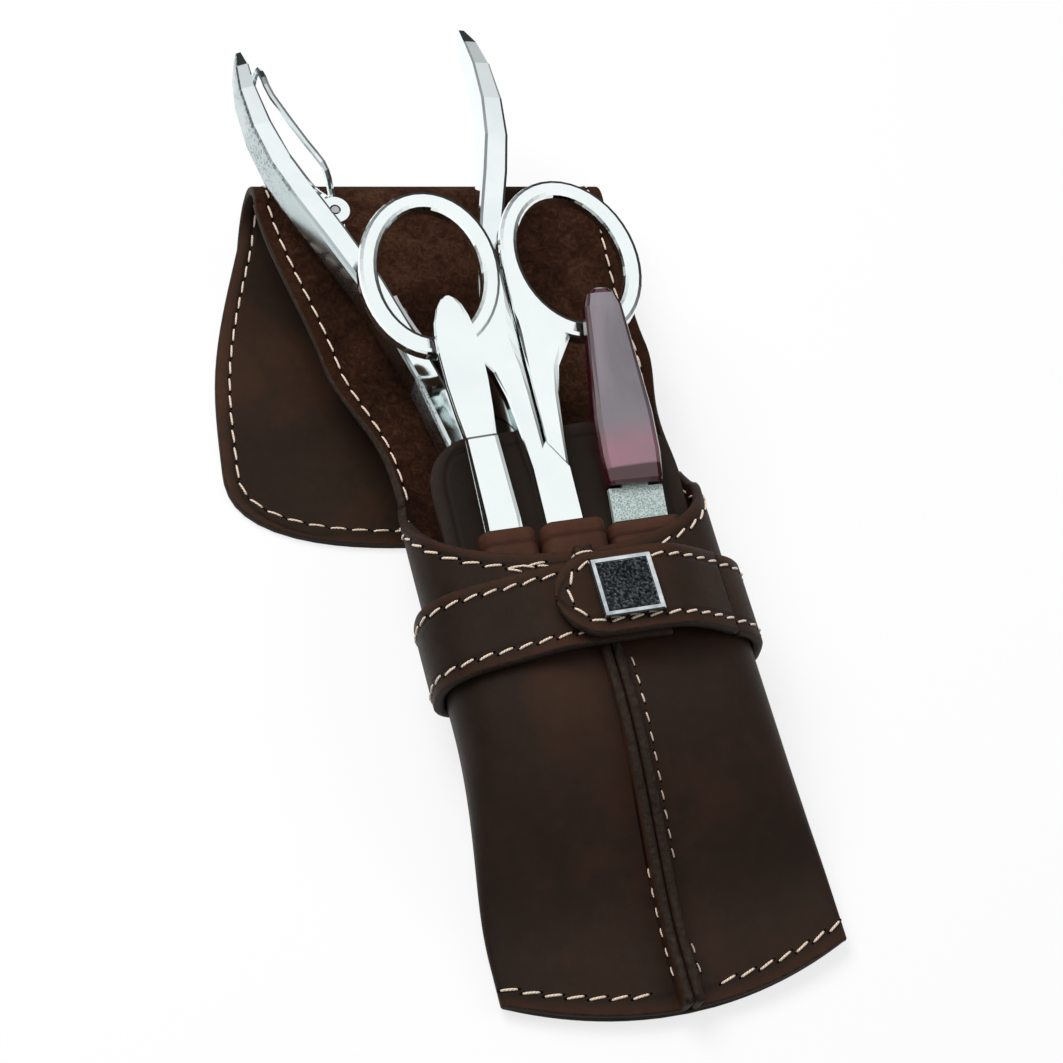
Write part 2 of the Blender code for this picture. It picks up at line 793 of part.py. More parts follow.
def tab_hinge():
    """On the strap's outer side, at the right shoulder."""
    shoulder = strap_point(STRAP_SHOULDER_SHARE, 0, CREST_FADE)
    ahead = (strap_point(STRAP_SHOULDER_SHARE + 0.02, 0, CREST_FADE) - shoulder).normalized()
    outward = Vector((-ahead.z, 0, ahead.x))
    if outward.z < 0:
        outward = -outward
    return shoulder + outward * STRAP_THICKNESS / 2


def snap_level():
    """The band's outer side at the snap."""
    return strap_point(share_at_x(SNAP_X), fin_top_lift(), CREST_FADE).z + STRAP_THICKNESS / 2


def snap_hole(name, radius, parent):
    return disc(name, radius, 0, CASE_WIDTH, parent, None, (SNAP_X, STRAP_Y), 32)


def make_strap(frame):
    path = step_along(band_path(), GAP / 2)
    band = sheet("strap_band", strap_rows(path, [STRAP_WIDTH / 2] * len(path)), STRAP_THICKNESS, frame,
                 grain_leather())
    boolean(band, snap_hole("band_hole_cutter", SNAP_HOLE_RADIUS, frame), "DIFFERENCE")
    level = snap_level()
    inner = -STRAP_THICKNESS - GAP
    head = STUD_BASE_THICKNESS + GAP * 2
    turned("snap_stud", [
        (0, head + STUD_HEAD_HEIGHT), (STUD_HEAD_RADIUS * 0.7, head + STUD_HEAD_HEIGHT),
        (STUD_HEAD_RADIUS, head + STUD_HEAD_HEIGHT / 2), (STUD_NECK_RADIUS, head),
        (STUD_NECK_RADIUS, STUD_BASE_THICKNESS + GAP), (STUD_BASE_RADIUS, STUD_BASE_THICKNESS + GAP),
        (STUD_BASE_RADIUS, GAP), (SNAP_SHANK_RADIUS, GAP), (SNAP_SHANK_RADIUS, inner),
        (STUD_FOOT_RADIUS, inner), (STUD_FOOT_RADIUS, inner - GAP), (0, inner - GAP)],
        frame, steel(), (SNAP_X, STRAP_Y, level))


def make_tab(frame):
    path, widths = tab_path()
    path = step_along(path, GAP / 2)
    tab = sheet("strap_tab", strap_rows(path, widths), STRAP_THICKNESS, frame, grain_leather())
    boolean(tab, snap_hole("tab_hole_cutter", SOCKET_RADIUS + GAP, frame), "DIFFERENCE")
    move_origin(tab, tab_hinge())
    under = snap_level() + SNAP_GAP
    top = STRAP_THICKNESS
    ceiling = top - SOCKET_LID
    turned("snap_socket", [
        (SNAP_HOLE_RADIUS, top), (SOCKET_RADIUS, top), (SOCKET_RADIUS, 0), (SOCKET_CAVITY_RADIUS, 0),
        (SOCKET_CAVITY_RADIUS, ceiling), (SNAP_HOLE_RADIUS, ceiling)],
        frame, steel(), (SNAP_X, STRAP_Y, under))
    base = under + STRAP_THICKNESS + GAP
    half = BADGE_SIZE / 2
    badge = box("badge_cap", (-half, -half, 0), (half, half, BADGE_THICKNESS), frame, steel())
    badge.location = (SNAP_X, STRAP_Y, base)
    bevel(badge, BADGE_RECESS / 2, 1)
    inner = half - BADGE_RIM
    field = box("badge_field_cutter", (-inner, -inner, BADGE_THICKNESS - BADGE_RECESS),
                (inner, inner, BADGE_THICKNESS + OVERRUN), badge, None)
    boolean(badge, field, "DIFFERENCE")
    stem = disc("badge_stem", SNAP_SHANK_RADIUS, -GAP - SOCKET_LID, BADGE_THICKNESS / 4, badge, None, sides=16)
    boolean(badge, stem, "UNION")


# Divider and loops


def divider_z(y):
    """The divider's middle surface, in two straight runs with a soft knee."""
    below = DIVIDER_KNEE_Z + (y - DIVIDER_KNEE_Y) * divider_slopes()[0]
    above = DIVIDER_KNEE_Z + (y - DIVIDER_KNEE_Y) * divider_slopes()[1]
    return max(min(below, above), foot_z())


def foot_z():
    return LEATHER + GAP + DIVIDER_THICKNESS / 2


def divider_slopes():
    lower = (DIVIDER_KNEE_Z - foot_z()) / (DIVIDER_KNEE_Y - DIVIDER_FOOT_Y)
    upper = (DIVIDER_TOP_Z - DIVIDER_KNEE_Z) / (DIVIDER_TOP_Y - DIVIDER_KNEE_Y)
    return lower, upper


def make_divider(frame):
    """A leather panel with a round-cornered top, resting on the back at its foot."""
    rows = spread(DIVIDER_FOOT_Y, DIVIDER_KNEE_Y, 4) + spread(DIVIDER_KNEE_Y, DIVIDER_TOP_Y - DIVIDER_CORNER, 2)[1:]
    half_widths = [CASE_WIDTH * DIVIDER_WIDTH_SHARE / 2 * mix(DIVIDER_FOOT_SHARE, 1, smooth(y, DIVIDER_FOOT_Y, DIVIDER_KNEE_Y))
                   for y in rows]
    for turn in (20, 40, 58, 74, 90):
        rows.append(DIVIDER_TOP_Y - DIVIDER_CORNER * (1 - sin(radians(turn))))
        half_widths.append(CASE_WIDTH * DIVIDER_WIDTH_SHARE / 2 - DIVIDER_CORNER * (1 - cos(radians(turn))))
    grid = {}
    for row, (y, half) in enumerate(zip(rows, half_widths)):
        for column, share in enumerate((-1, -0.5, 0, 0.5, 1)):
            grid[row, column] = Vector((half * share, y, divider_z(y)))
    return sheet("divider_panel", grid, DIVIDER_THICKNESS, frame, divider_leather())


def loop_section():
    """(x, height) across the strip: flat where it is sewn, up and over each tool."""
    section = [(TWEEZERS_LOOP[0] - LOOP_TOE, 0)]
    for left, right, rise in (TWEEZERS_LOOP, SCISSORS_LOOP, FILE_LOOP):
        foot, top = LOOP_FOOT_RADIUS, LOOP_TOP_RADIUS
        half = [(foot * sin(radians(turn)), foot * (1 - cos(radians(turn)))) for turn in (0, 30, 60, 84)]
        half += [(foot + top * (1 - cos(radians(turn))), rise - top * (1 - sin(radians(turn))))
                 for turn in (6, 30, 60, 90)]
        section += [(left + x, height) for x, height in half]
        section += [(right - x, height) for x, height in reversed(half[1:])]
    return section + [(FILE_LOOP[1], 0), (FILE_LOOP[1] + LOOP_TOE, 0)]


def make_loop_strip(frame):
    """One strip sewn down between its three loops, cut lower where it is sewn."""
    seat = (DIVIDER_THICKNESS + LOOP_LEATHER) / 2 + GAP * 2
    highest = max(loop[2] for loop in (TWEEZERS_LOOP, SCISSORS_LOOP, FILE_LOOP))
    grid = {}
    for column, (x, rise) in enumerate(loop_section()):
        for row, share in enumerate((0.0, 0.5, 1.0)):
            top = LOOP_STRIP_TOP_Y - LOOP_SCALLOP * (1 - rise / highest)
            y = mix(LOOP_STRIP_LOW_Y, top, share)
            grid[row, column] = Vector((x, y, divider_z(min(y, DIVIDER_KNEE_Y)) + seat + rise))
    return sheet("loop_strip", grid, LOOP_LEATHER, frame, grain_leather())


# Nail nippers, drawn closed and with the pivot at the origin, y towards the handles

HANDLE_STATIONS = (
    (0.000, -0.0034, 0.0056, 0.0062), (0.008, -0.0032, 0.0050, 0.0062), (0.0165, -0.0030, 0.0044, 0.0064),
    (0.025, -0.0033, 0.0043, 0.0068), (0.036, -0.0039, 0.0044, 0.0072), (0.047, -0.0055, 0.0047, 0.0075),
    (0.056, -0.0070, 0.0048, 0.0075), (0.064, -0.0080, 0.0046, 0.0073), (0.072, -0.0079, 0.0042, 0.0070),
    (0.080, -0.0068, 0.0035, 0.0062), (0.085, -0.0054, 0.0028, 0.0052), (NIPPER_HANDLE_TIP_Y, -0.0043, 0.0012, 0.0024))
JAW_STATIONS = (
    (0.000, 0.0058, 0.0062), (-0.006, 0.0062, 0.0060), (-0.012, 0.0060, 0.0054), (-0.018, 0.0046, 0.0046),
    (-0.023, 0.0028, 0.0036), (NIPPER_JAW_TIP_Y, 0.0010, 0.0026))


def nipper_handle(name, side, frame, finish):
    rings = []
    for y, centre, width, depth in HANDLE_STATIONS:
        low = -side * centre - width / 2
        rings.append(oval(y, low, low + width, -depth / 2, depth / 2, HANDLE_CORNER_SHARE, 12))
    return loft(name, rings, frame, finish)


def nipper_jaw(name, side, frame):
    """A jaw with its cutting edge along the middle line, on the side given."""
    rings = []
    for y, width, depth in JAW_STATIONS:
        low = GAP / 2 if side > 0 else -GAP / 2 - width
        rings.append(oval(y, low, low + width, -depth / 2, depth / 2, 0.55, 14))
    return loft(name, rings, frame, None)


def nipper_half(name, side, frame):
    """Half of the lap joint, its handle on one side and its jaw on the other."""
    half = nipper_handle(name, side, frame, chrome())
    deep = NIPPER_JOINT_DEPTH / 2
    boolean(half, disc(name + "_joint", NIPPER_JOINT_RADIUS, -deep, deep, frame, None, sides=48), "UNION")
    boolean(half, nipper_jaw(name + "_jaw", -side, frame), "UNION")
    clear = NIPPER_JOINT_RADIUS + GAP
    if side < 0:
        lap = disc(name + "_lap_cutter", clear, -deep - OVERRUN, GAP / 2, frame, None, sides=48)
    else:
        lap = disc(name + "_lap_cutter", clear, -GAP / 2, deep + OVERRUN, frame, None, sides=48)
    if side < 0:
        add_bail_ears(half, frame)
    boolean(half, lap, "DIFFERENCE")
    hole = disc(name + "_hole_cutter", NIPPER_RIVET_RADIUS + GAP, -deep - OVERRUN, deep + OVERRUN, frame, None,
                sides=32)
    boolean(half, hole, "DIFFERENCE")
    return half


def add_bail_ears(half, frame):
    """Two ears on the handle's inner side, with the bail's pin across them."""
    deep = BAIL_EAR_DEPTH / 2
    centre = (BAIL_PIN_X, BAIL_PIN_Y)
    boolean(half, disc("bail_ear_boss", BAIL_EAR_RADIUS, -deep, deep, frame, None, centre, 28), "UNION")
    root = BAIL_PIN_X - BAIL_EAR_RADIUS
    slot = box("bail_slot_cutter", (root, BAIL_PIN_Y - BAIL_EAR_RADIUS - OVERRUN, -BAIL_SLOT / 2),
               (BAIL_PIN_X + BAIL_EAR_RADIUS + OVERRUN, BAIL_PIN_Y + BAIL_EAR_RADIUS + OVERRUN, BAIL_SLOT / 2),
               frame, None)
    boolean(half, slot, "DIFFERENCE")
    hole = disc("bail_pin_hole_cutter", BAIL_PIN_RADIUS + GAP, -deep - OVERRUN, deep + OVERRUN, frame, None,
                centre, 20)
    boolean(half, hole, "DIFFERENCE")


def make_bail(frame):
    """A wire loop: narrow at the pin between the ears, wide enough to pass over a handle."""
    hinge = empty("bail_frame", frame, (BAIL_PIN_X, BAIL_PIN_Y, 0))
    eye = BAIL_PIN_RADIUS + GAP + BAIL_WIRE / 2
    narrow = BAIL_SLOT / 2 - GAP - BAIL_WIRE / 2
    wide = BAIL_HALF_WIDTH
    end = BAIL_LENGTH - BAIL_WIRE / 2
    leg = [(eye * cos(radians(a)), eye * sin(radians(a)), narrow) for a in (-150, -105, -60, -15, 30)]
    leg += [(eye * 1.0, eye * 2.2, narrow), (eye * 1.15, BAIL_LENGTH * 0.20, mix(narrow, wide, 0.6))]
    leg += [(eye * 1.0, BAIL_LENGTH * 0.28, wide), (eye * 0.5, BAIL_LENGTH * 0.42, wide)]
    leg += [(-eye * 0.4, BAIL_LENGTH * 0.76, wide), (-eye * 0.25, BAIL_LENGTH * 0.88, wide)]
    turn = [(-eye * 0.05, end - wide * 0.12, wide * 0.75), (0, end, wide * 0.4)]
    half = [Vector(p) for p in leg + turn]
    other = [Vector((p.x, p.y, -p.z)) for p in reversed(half)]
    bail = wire("nipper_bail", smooth_path(half + other, 2), BAIL_WIRE, hinge, finish=chrome())
    length = BAIL_EAR_DEPTH / 2
    pin = disc("nipper_bail_pin", BAIL_PIN_RADIUS, -length, length, frame, steel(), (BAIL_PIN_X, BAIL_PIN_Y), 20)
    return bail, pin


def make_leaf_spring(frame):
    """A leaf screwed inside the left handle, bowed towards the right one."""
    handle = read(HANDLE_STATIONS, LEAF_FOOT_Y)
    wall = handle[0] + handle[1] / 2
    start = wall + GAP + LEAF_THICKNESS / 2
    path = [(start, LEAF_FOOT_Y + LEAF_SCREW_RADIUS * 2.5), (start, LEAF_FOOT_Y),
            (start + LEAF_BOW * 0.2, LEAF_FOOT_Y - LEAF_REACH * 0.35), (start + LEAF_BOW * 0.7, LEAF_FOOT_Y - LEAF_REACH * 0.7),
            (start + LEAF_BOW, LEAF_FOOT_Y - LEAF_REACH)]
    grid = {}
    for row, point in enumerate(smooth_path([(x, y, 0) for x, y in path], 4)):
        for column, share in enumerate((-0.5, 0.5)):
            grid[row, column] = point + Vector((0, 0, share * LEAF_DEPTH))
    leaf = sheet("nipper_spring", grid, LEAF_THICKNESS, frame, steel())
    screw = turned("nipper_spring_screw", [
        (0, LEAF_SCREW_RADIUS * 0.6), (LEAF_SCREW_RADIUS * 0.75, LEAF_SCREW_RADIUS * 0.5),
        (LEAF_SCREW_RADIUS, 0), (0, 0)],
        frame, steel(), (start + LEAF_THICKNESS / 2 + GAP, LEAF_FOOT_Y, 0), 20)
    screw.rotation_euler = (0, pi / 2, 0)
    return leaf, screw




def make_nippers(frame):
    tool = empty("nipper_frame", frame, NIPPER_PIVOT)
    tool.rotation_euler = Euler((NIPPER_PITCH, NIPPER_ROLL, NIPPER_LEAN))
    left = empty("nipper_left_frame", tool, rotation=(0, 0, NIPPER_HALF_OPEN))
    right = empty("nipper_right_frame", tool, rotation=(0, 0, -NIPPER_HALF_OPEN))
    nipper_half("nipper_left_half", -1, left)
    nipper_half("nipper_right_half", 1, right)
    deep = NIPPER_JOINT_DEPTH / 2
    disc("nipper_rivet", NIPPER_RIVET_RADIUS, -deep, deep, left, steel(), sides=32)
    make_bail(left)
    make_leaf_spring(left)


# Nail scissors, drawn closed, pivot at the origin, y towards the rings

SHANK_STATIONS = (
    (0.000, 0.0031), (0.0115, 0.0032), (0.018, 0.0038), (0.025, 0.0046), (0.030, 0.0058), (0.0335, 0.0080),
    (0.0365, 0.0098), (0.0390, 0.0084), (0.042, 0.0052), (0.046, 0.0035), (0.050, 0.0028))
BLADE_SHARES = ((0.0, 1.0), (0.25, 0.85), (0.5, 0.72), (0.75, 0.52), (0.92, 0.30), (1.0, 0.10))


def scissors_half(name, side, frame):
    """A ring and shank on one side, and the plate and blade in one layer of the lap."""
    deep = SCISSORS_THICKNESS / 2
    rings = []
    for y, outer in SHANK_STATIONS:
        low, high = (GAP / 2, outer) if side > 0 else (-outer, -GAP / 2)
        rings.append(oval(y, low, high, -deep, deep, 0.35, 12))
    half = loft(name, rings, frame, chrome())
    ring_points = []
    for i in range(44):
        angle = 2 * pi * i / 44
        x = (RING_HALF_WIDTH - RING_WIRE / 2) * cos(angle)
        y = (RING_HALF_HEIGHT - RING_WIRE / 2) * sin(angle)
        ring_points.append(Vector((
            side * (RING_HALF_WIDTH + GAP / 2) + x * cos(RING_TILT) - side * y * sin(RING_TILT),
            RING_CENTRE_Y + y * cos(RING_TILT) + side * x * sin(RING_TILT), 0)))
    nearest = min(point.x * side for point in ring_points) - RING_WIRE / 2
    for point in ring_points:
        point.x += side * (GAP / 2 - nearest)
    ring = flat_ring(name + "_ring", ring_points, frame)
    boolean(half, ring, "UNION")
    plate = scissors_plate(name + "_plate", frame, side)
    boolean(half, plate, "UNION")
    cut = lap_cutter(name + "_lap_cutter", frame, -side)
    boolean(half, cut, "DIFFERENCE")
    hole = disc(name + "_hole_cutter", SCISSORS_SCREW_RADIUS + GAP, -deep - OVERRUN, deep + OVERRUN, frame, None,
                sides=24)
    boolean(half, hole, "DIFFERENCE")
    return half


def flat_ring(name, points, frame):
    """A finger ring with a flattened face: a rounded square swept round the points."""
    middle = sum(points, Vector((0, 0, 0))) / len(points)
    bm = bmesh.new()
    loops = []
    for i, point in enumerate(points):
        ahead = (points[(i + 1) % len(points)] - points[i - 1]).normalized()
        outward = Vector((ahead.y, -ahead.x, 0))
        if outward.dot(point - middle) < 0:
            outward = -outward
        section = oval(0, -RING_WIRE / 2, RING_WIRE / 2, -RING_DEPTH / 2, RING_DEPTH / 2, RING_CORNER_SHARE, 12)
        loops.append([bm.verts.new(point + outward * corner.x + Vector((0, 0, corner.z))) for corner in section])
    for low, high in zip(loops, loops[1:] + loops[:1]):
        for i in range(len(low)):
            j = (i + 1) % len(low)
            bm.faces.new((low[i], low[j], high[j], high[i]))
    return place(name, mesh_from(bm, name), frame, None)


def scissors_plate(name, frame, side):
    """The joint plate and blade: full thickness here, halved by the lap cut."""
    deep = SCISSORS_THICKNESS / 2
    wide = SCISSORS_PLATE_HALF
    outline = [(-wide, BOLSTER_SIDE_Y - GAP), (0, BOLSTER_SIDE_Y + BOLSTER_RISE - GAP), (wide, BOLSTER_SIDE_Y - GAP)]
    right = [(wide * width, -BLADE_LENGTH * along) for along, width in BLADE_SHARES]
    left = [(-wide * width, -BLADE_LENGTH * along) for along, width in reversed(BLADE_SHARES)]
    outline = outline + right + left
    low, high = (-deep, GAP) if side > 0 else (-GAP, deep)
    return prism(name, list(reversed(outline)), low, high, frame, None)


def lap_cutter(name, frame, layer):
    """Everything under the bolster's peak, in the front layer or the back one."""
    deep = SCISSORS_THICKNESS / 2 + OVERRUN
    wide = RING_HALF_WIDTH
    slope = BOLSTER_RISE / SCISSORS_PLATE_HALF
    outline = [(-wide, BOLSTER_SIDE_Y - (wide - SCISSORS_PLATE_HALF) * slope),
               (0, BOLSTER_SIDE_Y + BOLSTER_RISE), (wide, BOLSTER_SIDE_Y - (wide - SCISSORS_PLATE_HALF) * slope),
               (wide, -BLADE_LENGTH - OVERRUN), (-wide, -BLADE_LENGTH - OVERRUN)]
    low, high = (-GAP / 2, deep) if layer < 0 else (-deep, GAP / 2)
    return prism(name, list(reversed(outline)), low, high, frame, None)


def make_scissors(frame):
    tool = empty("scissors_frame", frame, SCISSORS_PIVOT, (SCISSORS_PITCH, 0, SCISSORS_LEAN))
    scissors_half("scissors_left_half", -1, tool)
    scissors_half("scissors_right_half", 1, tool)
    deep = SCISSORS_THICKNESS / 2
    disc("scissors_screw", SCISSORS_SCREW_RADIUS, -deep, deep, tool, steel(), sides=24)


# Tweezers, y towards the head


def tweezers_outline():
    """(y, width) along the arm from the head's point to the tips."""
    top = TWEEZERS_HEAD_Y + TWEEZERS_HEAD_LENGTH
    rows = [(top - TWEEZERS_HEAD_LENGTH * along, TWEEZERS_HEAD_WIDTH * width)
            for along, width in ((0.0, 0.10), (0.02, 0.34), (0.07, 0.58), (0.15, 0.78), (0.27, 0.93), (0.42, 1.0),
                                 (0.62, 0.97), (0.82, 0.86))]
    rows.append((TWEEZERS_HEAD_Y, TWEEZERS_WAIST_WIDTH))
    rows.append((TWEEZERS_HEAD_Y - TWEEZERS_STEP, TWEEZERS_WAIST_WIDTH))
    rows.append((TWEEZERS_STEP_LOW_Y, mix(TWEEZERS_BODY_WIDTH, TWEEZERS_WAIST_WIDTH, 0.25)))
    rows.append((0, TWEEZERS_BODY_WIDTH))
    for along, share in ((0.3, 0.15), (0.6, 0.5), (0.85, 0.8), (1.0, 1.0)):
        rows.append((TWEEZERS_TIP_Y * along, mix(TWEEZERS_BODY_WIDTH, TWEEZERS_TIP_WIDTH, share)))
    return rows


def tweezers_arm(name, side, frame):
    """One arm, pressed to the other at the head and bowed away from it below."""
    rings = []
    for y, width in tweezers_outline():
        below = max(0, TWEEZERS_HEAD_Y - y) / (TWEEZERS_HEAD_Y - TWEEZERS_TIP_Y)
        away = GAP / 2 + (TWEEZERS_TIP_SPREAD / 2) * sin(pi / 2 * min(1, below * 1.4)) * (1 - 0.25 * below)
        step = smooth(TWEEZERS_HEAD_Y - y, 0, TWEEZERS_STEP) * smooth(y, 0, TWEEZERS_STEP_LOW_Y)
        thick = TWEEZERS_ARM + TWEEZERS_STEP * step
        low, high = (away, away + thick) if side > 0 else (-away - TWEEZERS_ARM, -away)
        rings.append(oval(y, -width / 2, width / 2, low, high, 0.30, 8))
    return loft(name, rings, frame, chrome())


def make_tweezers(frame):
    tool = empty("tweezers_frame", frame, TWEEZERS_ORIGIN, (TWEEZERS_PITCH, 0, TWEEZERS_LEAN))
    tweezers_arm("tweezers_front_arm", 1, tool)
    back = tweezers_arm("tweezers_back_arm", -1, tool)
    move_origin(back, (0, TWEEZERS_HEAD_Y, 0))


# Nail file, y towards the handle's top


def make_file(frame):
    tool = empty("file_frame", frame, FILE_ORIGIN, (FILE_PITCH, 0, FILE_LEAN))
    deep = FILE_BLADE_THICKNESS / 2
    wide = FILE_BLADE_WIDTH / 2
    shoulder = FILE_HANDLE_LOW_Y - GAP
    tang = FILE_TANG_WIDTH / 2
    outline = [(tang, FILE_HANDLE_LOW_Y + FILE_TANG_LENGTH), (-tang, FILE_HANDLE_LOW_Y + FILE_TANG_LENGTH),
               (-tang, shoulder), (-wide, shoulder)]
    point = [(wide * width, FILE_TIP_Y * along) for along, width in
             ((0.0, 1.0), (0.5, 0.93), (0.78, 0.78), (0.92, 0.54), (0.98, 0.30), (1.0, 0.08))]
    outline += [(-x, y) for x, y in point] + list(reversed(point)) + [(wide, shoulder), (tang, shoulder)]
    prism("file_blade", outline, -deep, deep, tool, file_grit())
    rings = []
    half = FILE_HANDLE_THICKNESS / 2
    top_width, full, foot = FILE_HANDLE_TOP_WIDTH, FILE_HANDLE_WIDTH, FILE_HANDLE_FOOT_WIDTH
    for along, width, thick in ((0.0, foot * 0.96, 0.88), (0.02, foot, 1.0), (0.15, full, 1.0), (0.35, full * 0.98, 1.0),
                                (0.70, mix(full, top_width, 0.6), 0.94), (0.90, mix(full, top_width, 0.9), 0.82),
                                (0.965, top_width * 0.80, 0.66), (0.99, top_width * 0.50, 0.44),
                                (1.0, top_width * 0.20, 0.20)):
        y = FILE_HANDLE_LOW_Y + FILE_HANDLE_LENGTH * along
        rings.append(oval(y, -width / 2, width / 2, -half * thick, half * thick, 0.42, 16))
    handle = loft("file_handle", rings, tool, burgundy_plastic())
    slot = box("tang_slot_cutter", (-tang - GAP, FILE_HANDLE_LOW_Y - OVERRUN, -deep - GAP),
               (tang + GAP, FILE_HANDLE_LOW_Y + FILE_TANG_LENGTH + GAP, deep + GAP), tool, None)
    boolean(handle, slot, "DIFFERENCE")


def main():
    clear_scene()
    frame = empty("case_frame")
    frame.matrix_world = case_matrix()
    make_body(frame)
    make_flap(frame)
    make_divider(frame)
    make_loop_strip(frame)
    make_strap(frame)
    make_tab(frame)
    make_nippers(frame)
    make_scissors(frame)
    make_tweezers(frame)
    make_file(frame)
    bpy.context.view_layer.update()


parts = make_collection(COLLECTION)
cutters = make_collection("cutters")
main()
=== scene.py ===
"""Looks for the manicure set case: dressed leather with stitching, plated tools, light and camera."""
from math import atan, cos, pi, radians, sin, sqrt, tan

import bmesh
import bpy
from mathutils import Matrix, Vector


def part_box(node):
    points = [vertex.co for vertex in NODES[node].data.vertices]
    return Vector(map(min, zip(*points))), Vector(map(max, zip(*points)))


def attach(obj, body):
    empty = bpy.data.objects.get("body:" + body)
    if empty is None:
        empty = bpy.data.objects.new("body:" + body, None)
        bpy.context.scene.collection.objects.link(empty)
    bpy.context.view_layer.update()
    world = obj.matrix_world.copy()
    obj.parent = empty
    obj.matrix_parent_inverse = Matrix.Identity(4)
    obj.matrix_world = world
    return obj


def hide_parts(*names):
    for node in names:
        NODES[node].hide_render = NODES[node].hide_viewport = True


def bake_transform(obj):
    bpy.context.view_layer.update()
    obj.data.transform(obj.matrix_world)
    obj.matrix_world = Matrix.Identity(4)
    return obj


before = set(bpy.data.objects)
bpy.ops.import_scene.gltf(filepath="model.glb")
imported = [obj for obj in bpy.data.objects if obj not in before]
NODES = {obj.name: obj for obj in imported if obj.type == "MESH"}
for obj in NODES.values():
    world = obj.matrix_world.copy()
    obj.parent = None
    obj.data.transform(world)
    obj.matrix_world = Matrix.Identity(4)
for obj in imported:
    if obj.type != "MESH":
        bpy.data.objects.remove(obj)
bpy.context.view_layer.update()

# Dimensions repeated from the part
GAP = 0.0003
LEATHER = 0.0015
CASE_WIDTH = 0.058
WAIST_WIDTH = CASE_WIDTH * 0.90
WAIST_DEPTH = 0.0195
MOUTH_DEPTH = 0.0205
FLAT_END = 0.008
WAIST_Y = 0.050
STRAP_Y = 0.0621
BOTTOM_SAG = 0.0065
SAG_REACH = 0.040
SEAM_FIN_LOW = 0.0042
SEAM_FIN_HIGH = 0.0022
SEAM_FIN_LOW_Y = 0.020
SEAM_BEND = 0.0008
MOUTH_CENTRE_Y = 0.073
MOUTH_SIDE_Y = 0.092
ROUNDNESS_SHARE = 0.74
BACK_ROUNDNESS_SHARE = 0.60
BACK_DEPTH_SHARE = 0.40
FRONT_LEAN_SHARE = 0.11
MOUTH_CURVE_SHARE = 1.6
SIDE_COLUMN_SHARE = 0.42
FLATTEN_Y = 0.122
PANEL_WIDTH = CASE_WIDTH * 1.043
FOLD_WIDTH = CASE_WIDTH * 1.121
FOLD_X = -0.0040
FOLD_Y = 0.1548
FOLD_SKEW = radians(6.5)
BEND_RADIUS = 0.0065
FLAP_LENGTH = 0.0865
FLAP_WIDTH = CASE_WIDTH * 1.302
FLAP_WIDEST = 0.050
FLAP_TAPER = 0.0030
FLAP_CORNER = 0.016
FLAP_CORNER_SHARE = 2.5
STRAP_WIDTH = 0.0148
STRAP_THICKNESS = 0.0018
STRAP_SHOULDER_SHARE = 0.735
BAND_END_X = 0.008
TAB_END_X = -0.0102
CREST_HALF = 0.0080
CREST_FADE = 0.0180
TAB_FADE = 0.0230
SNAP_GAP = 0.0010
DIVIDER_THICKNESS = 0.0012
DIVIDER_WIDTH = CASE_WIDTH * 0.741
DIVIDER_FOOT_Y = 0.038
DIVIDER_KNEE_Y = 0.079
DIVIDER_TOP_Y = 0.0995
DIVIDER_KNEE_Z = 0.0109
DIVIDER_TOP_Z = 0.0125
DIVIDER_CORNER = 0.009
DIVIDER_FOOT_SHARE = 0.6
LOOP_LEATHER = 0.0012
LOOP_STRIP_LOW_Y = 0.0680
LOOP_STRIP_TOP_Y = 0.0795
LOOP_SCALLOP = 0.0015
LOOP_TOE = 0.0025
LOOP_FOOT_RADIUS = 0.0010
LOOP_TOP_RADIUS = 0.0014
LOOPS = ((-0.0176, -0.0071, 0.0045), (-0.0071, 0.0048, 0.0046), (0.0048, 0.0188, 0.0027))

BADGE_SIZE = 0.0102
BADGE_RIM = 0.0008
GRIP_LOW = 0.150
GRIP_TOP = 0.184
FILE_PITCH = radians(12.7)
HANDLE_LOW_Y = 0.0868
HANDLE_GLOW_Y = 0.0925
HAIR_ROUGHNESS = 0.03
KNURL_LOW = 0.1000
KNURL_TOP = 0.1145

# Stitching
STITCH_INSET = 0.0026
STITCH_PITCH = 0.0037
STITCH_LENGTH = 0.0029
NEXT = 0.0008
MOUTH_INSET = 0.0021
BOTTOM_INSET = 0.0030
SEAM_ROW = 0.0031
GROOVE_HALF = 0.0007
THREAD = 0.00019


def smooth(value, low, high):
    t = min(1.0, max(0.0, (value - low) / (high - low)))
    return t * t * (3 - 2 * t)


def mix(a, b, share):
    return a + (b - a) * share


def spread(low, high, count):
    return [mix(low, high, i / count) for i in range(count + 1)]


# The leather's middle surfaces, as the part draws them


def tube_width(y):
    return mix(CASE_WIDTH - LEATHER, WAIST_WIDTH - LEATHER, smooth(y, FLAT_END, WAIST_Y)) / 2


def tube_depth(y):
    waist = WAIST_DEPTH - LEATHER
    flare = STRAP_Y + STRAP_WIDTH / 2 + LEATHER
    depth = mix(LEATHER + GAP, waist, smooth(y, FLAT_END, WAIST_Y))
    return depth + (MOUTH_DEPTH - LEATHER - waist) * smooth(y, flare, MOUTH_SIDE_Y)


def tube_point(share, y, out=0.0):
    width = tube_width(y) + out
    depth = tube_depth(y)
    side = 1 if share >= 0 else -1
    angle = pi * min(1.0, abs(share))
    x = side * width * abs(sin(angle)) ** ROUNDNESS_SHARE
    middle = depth * BACK_DEPTH_SHARE
    if abs(share) < 0.5:
        z = middle - (middle + out) * abs(cos(angle)) ** BACK_ROUNDNESS_SHARE
    else:
        z = middle + (depth - middle + out) * abs(cos(angle)) ** ROUNDNESS_SHARE
    return Vector((x - FRONT_LEAN_SHARE * z, y, z + LEATHER / 2))


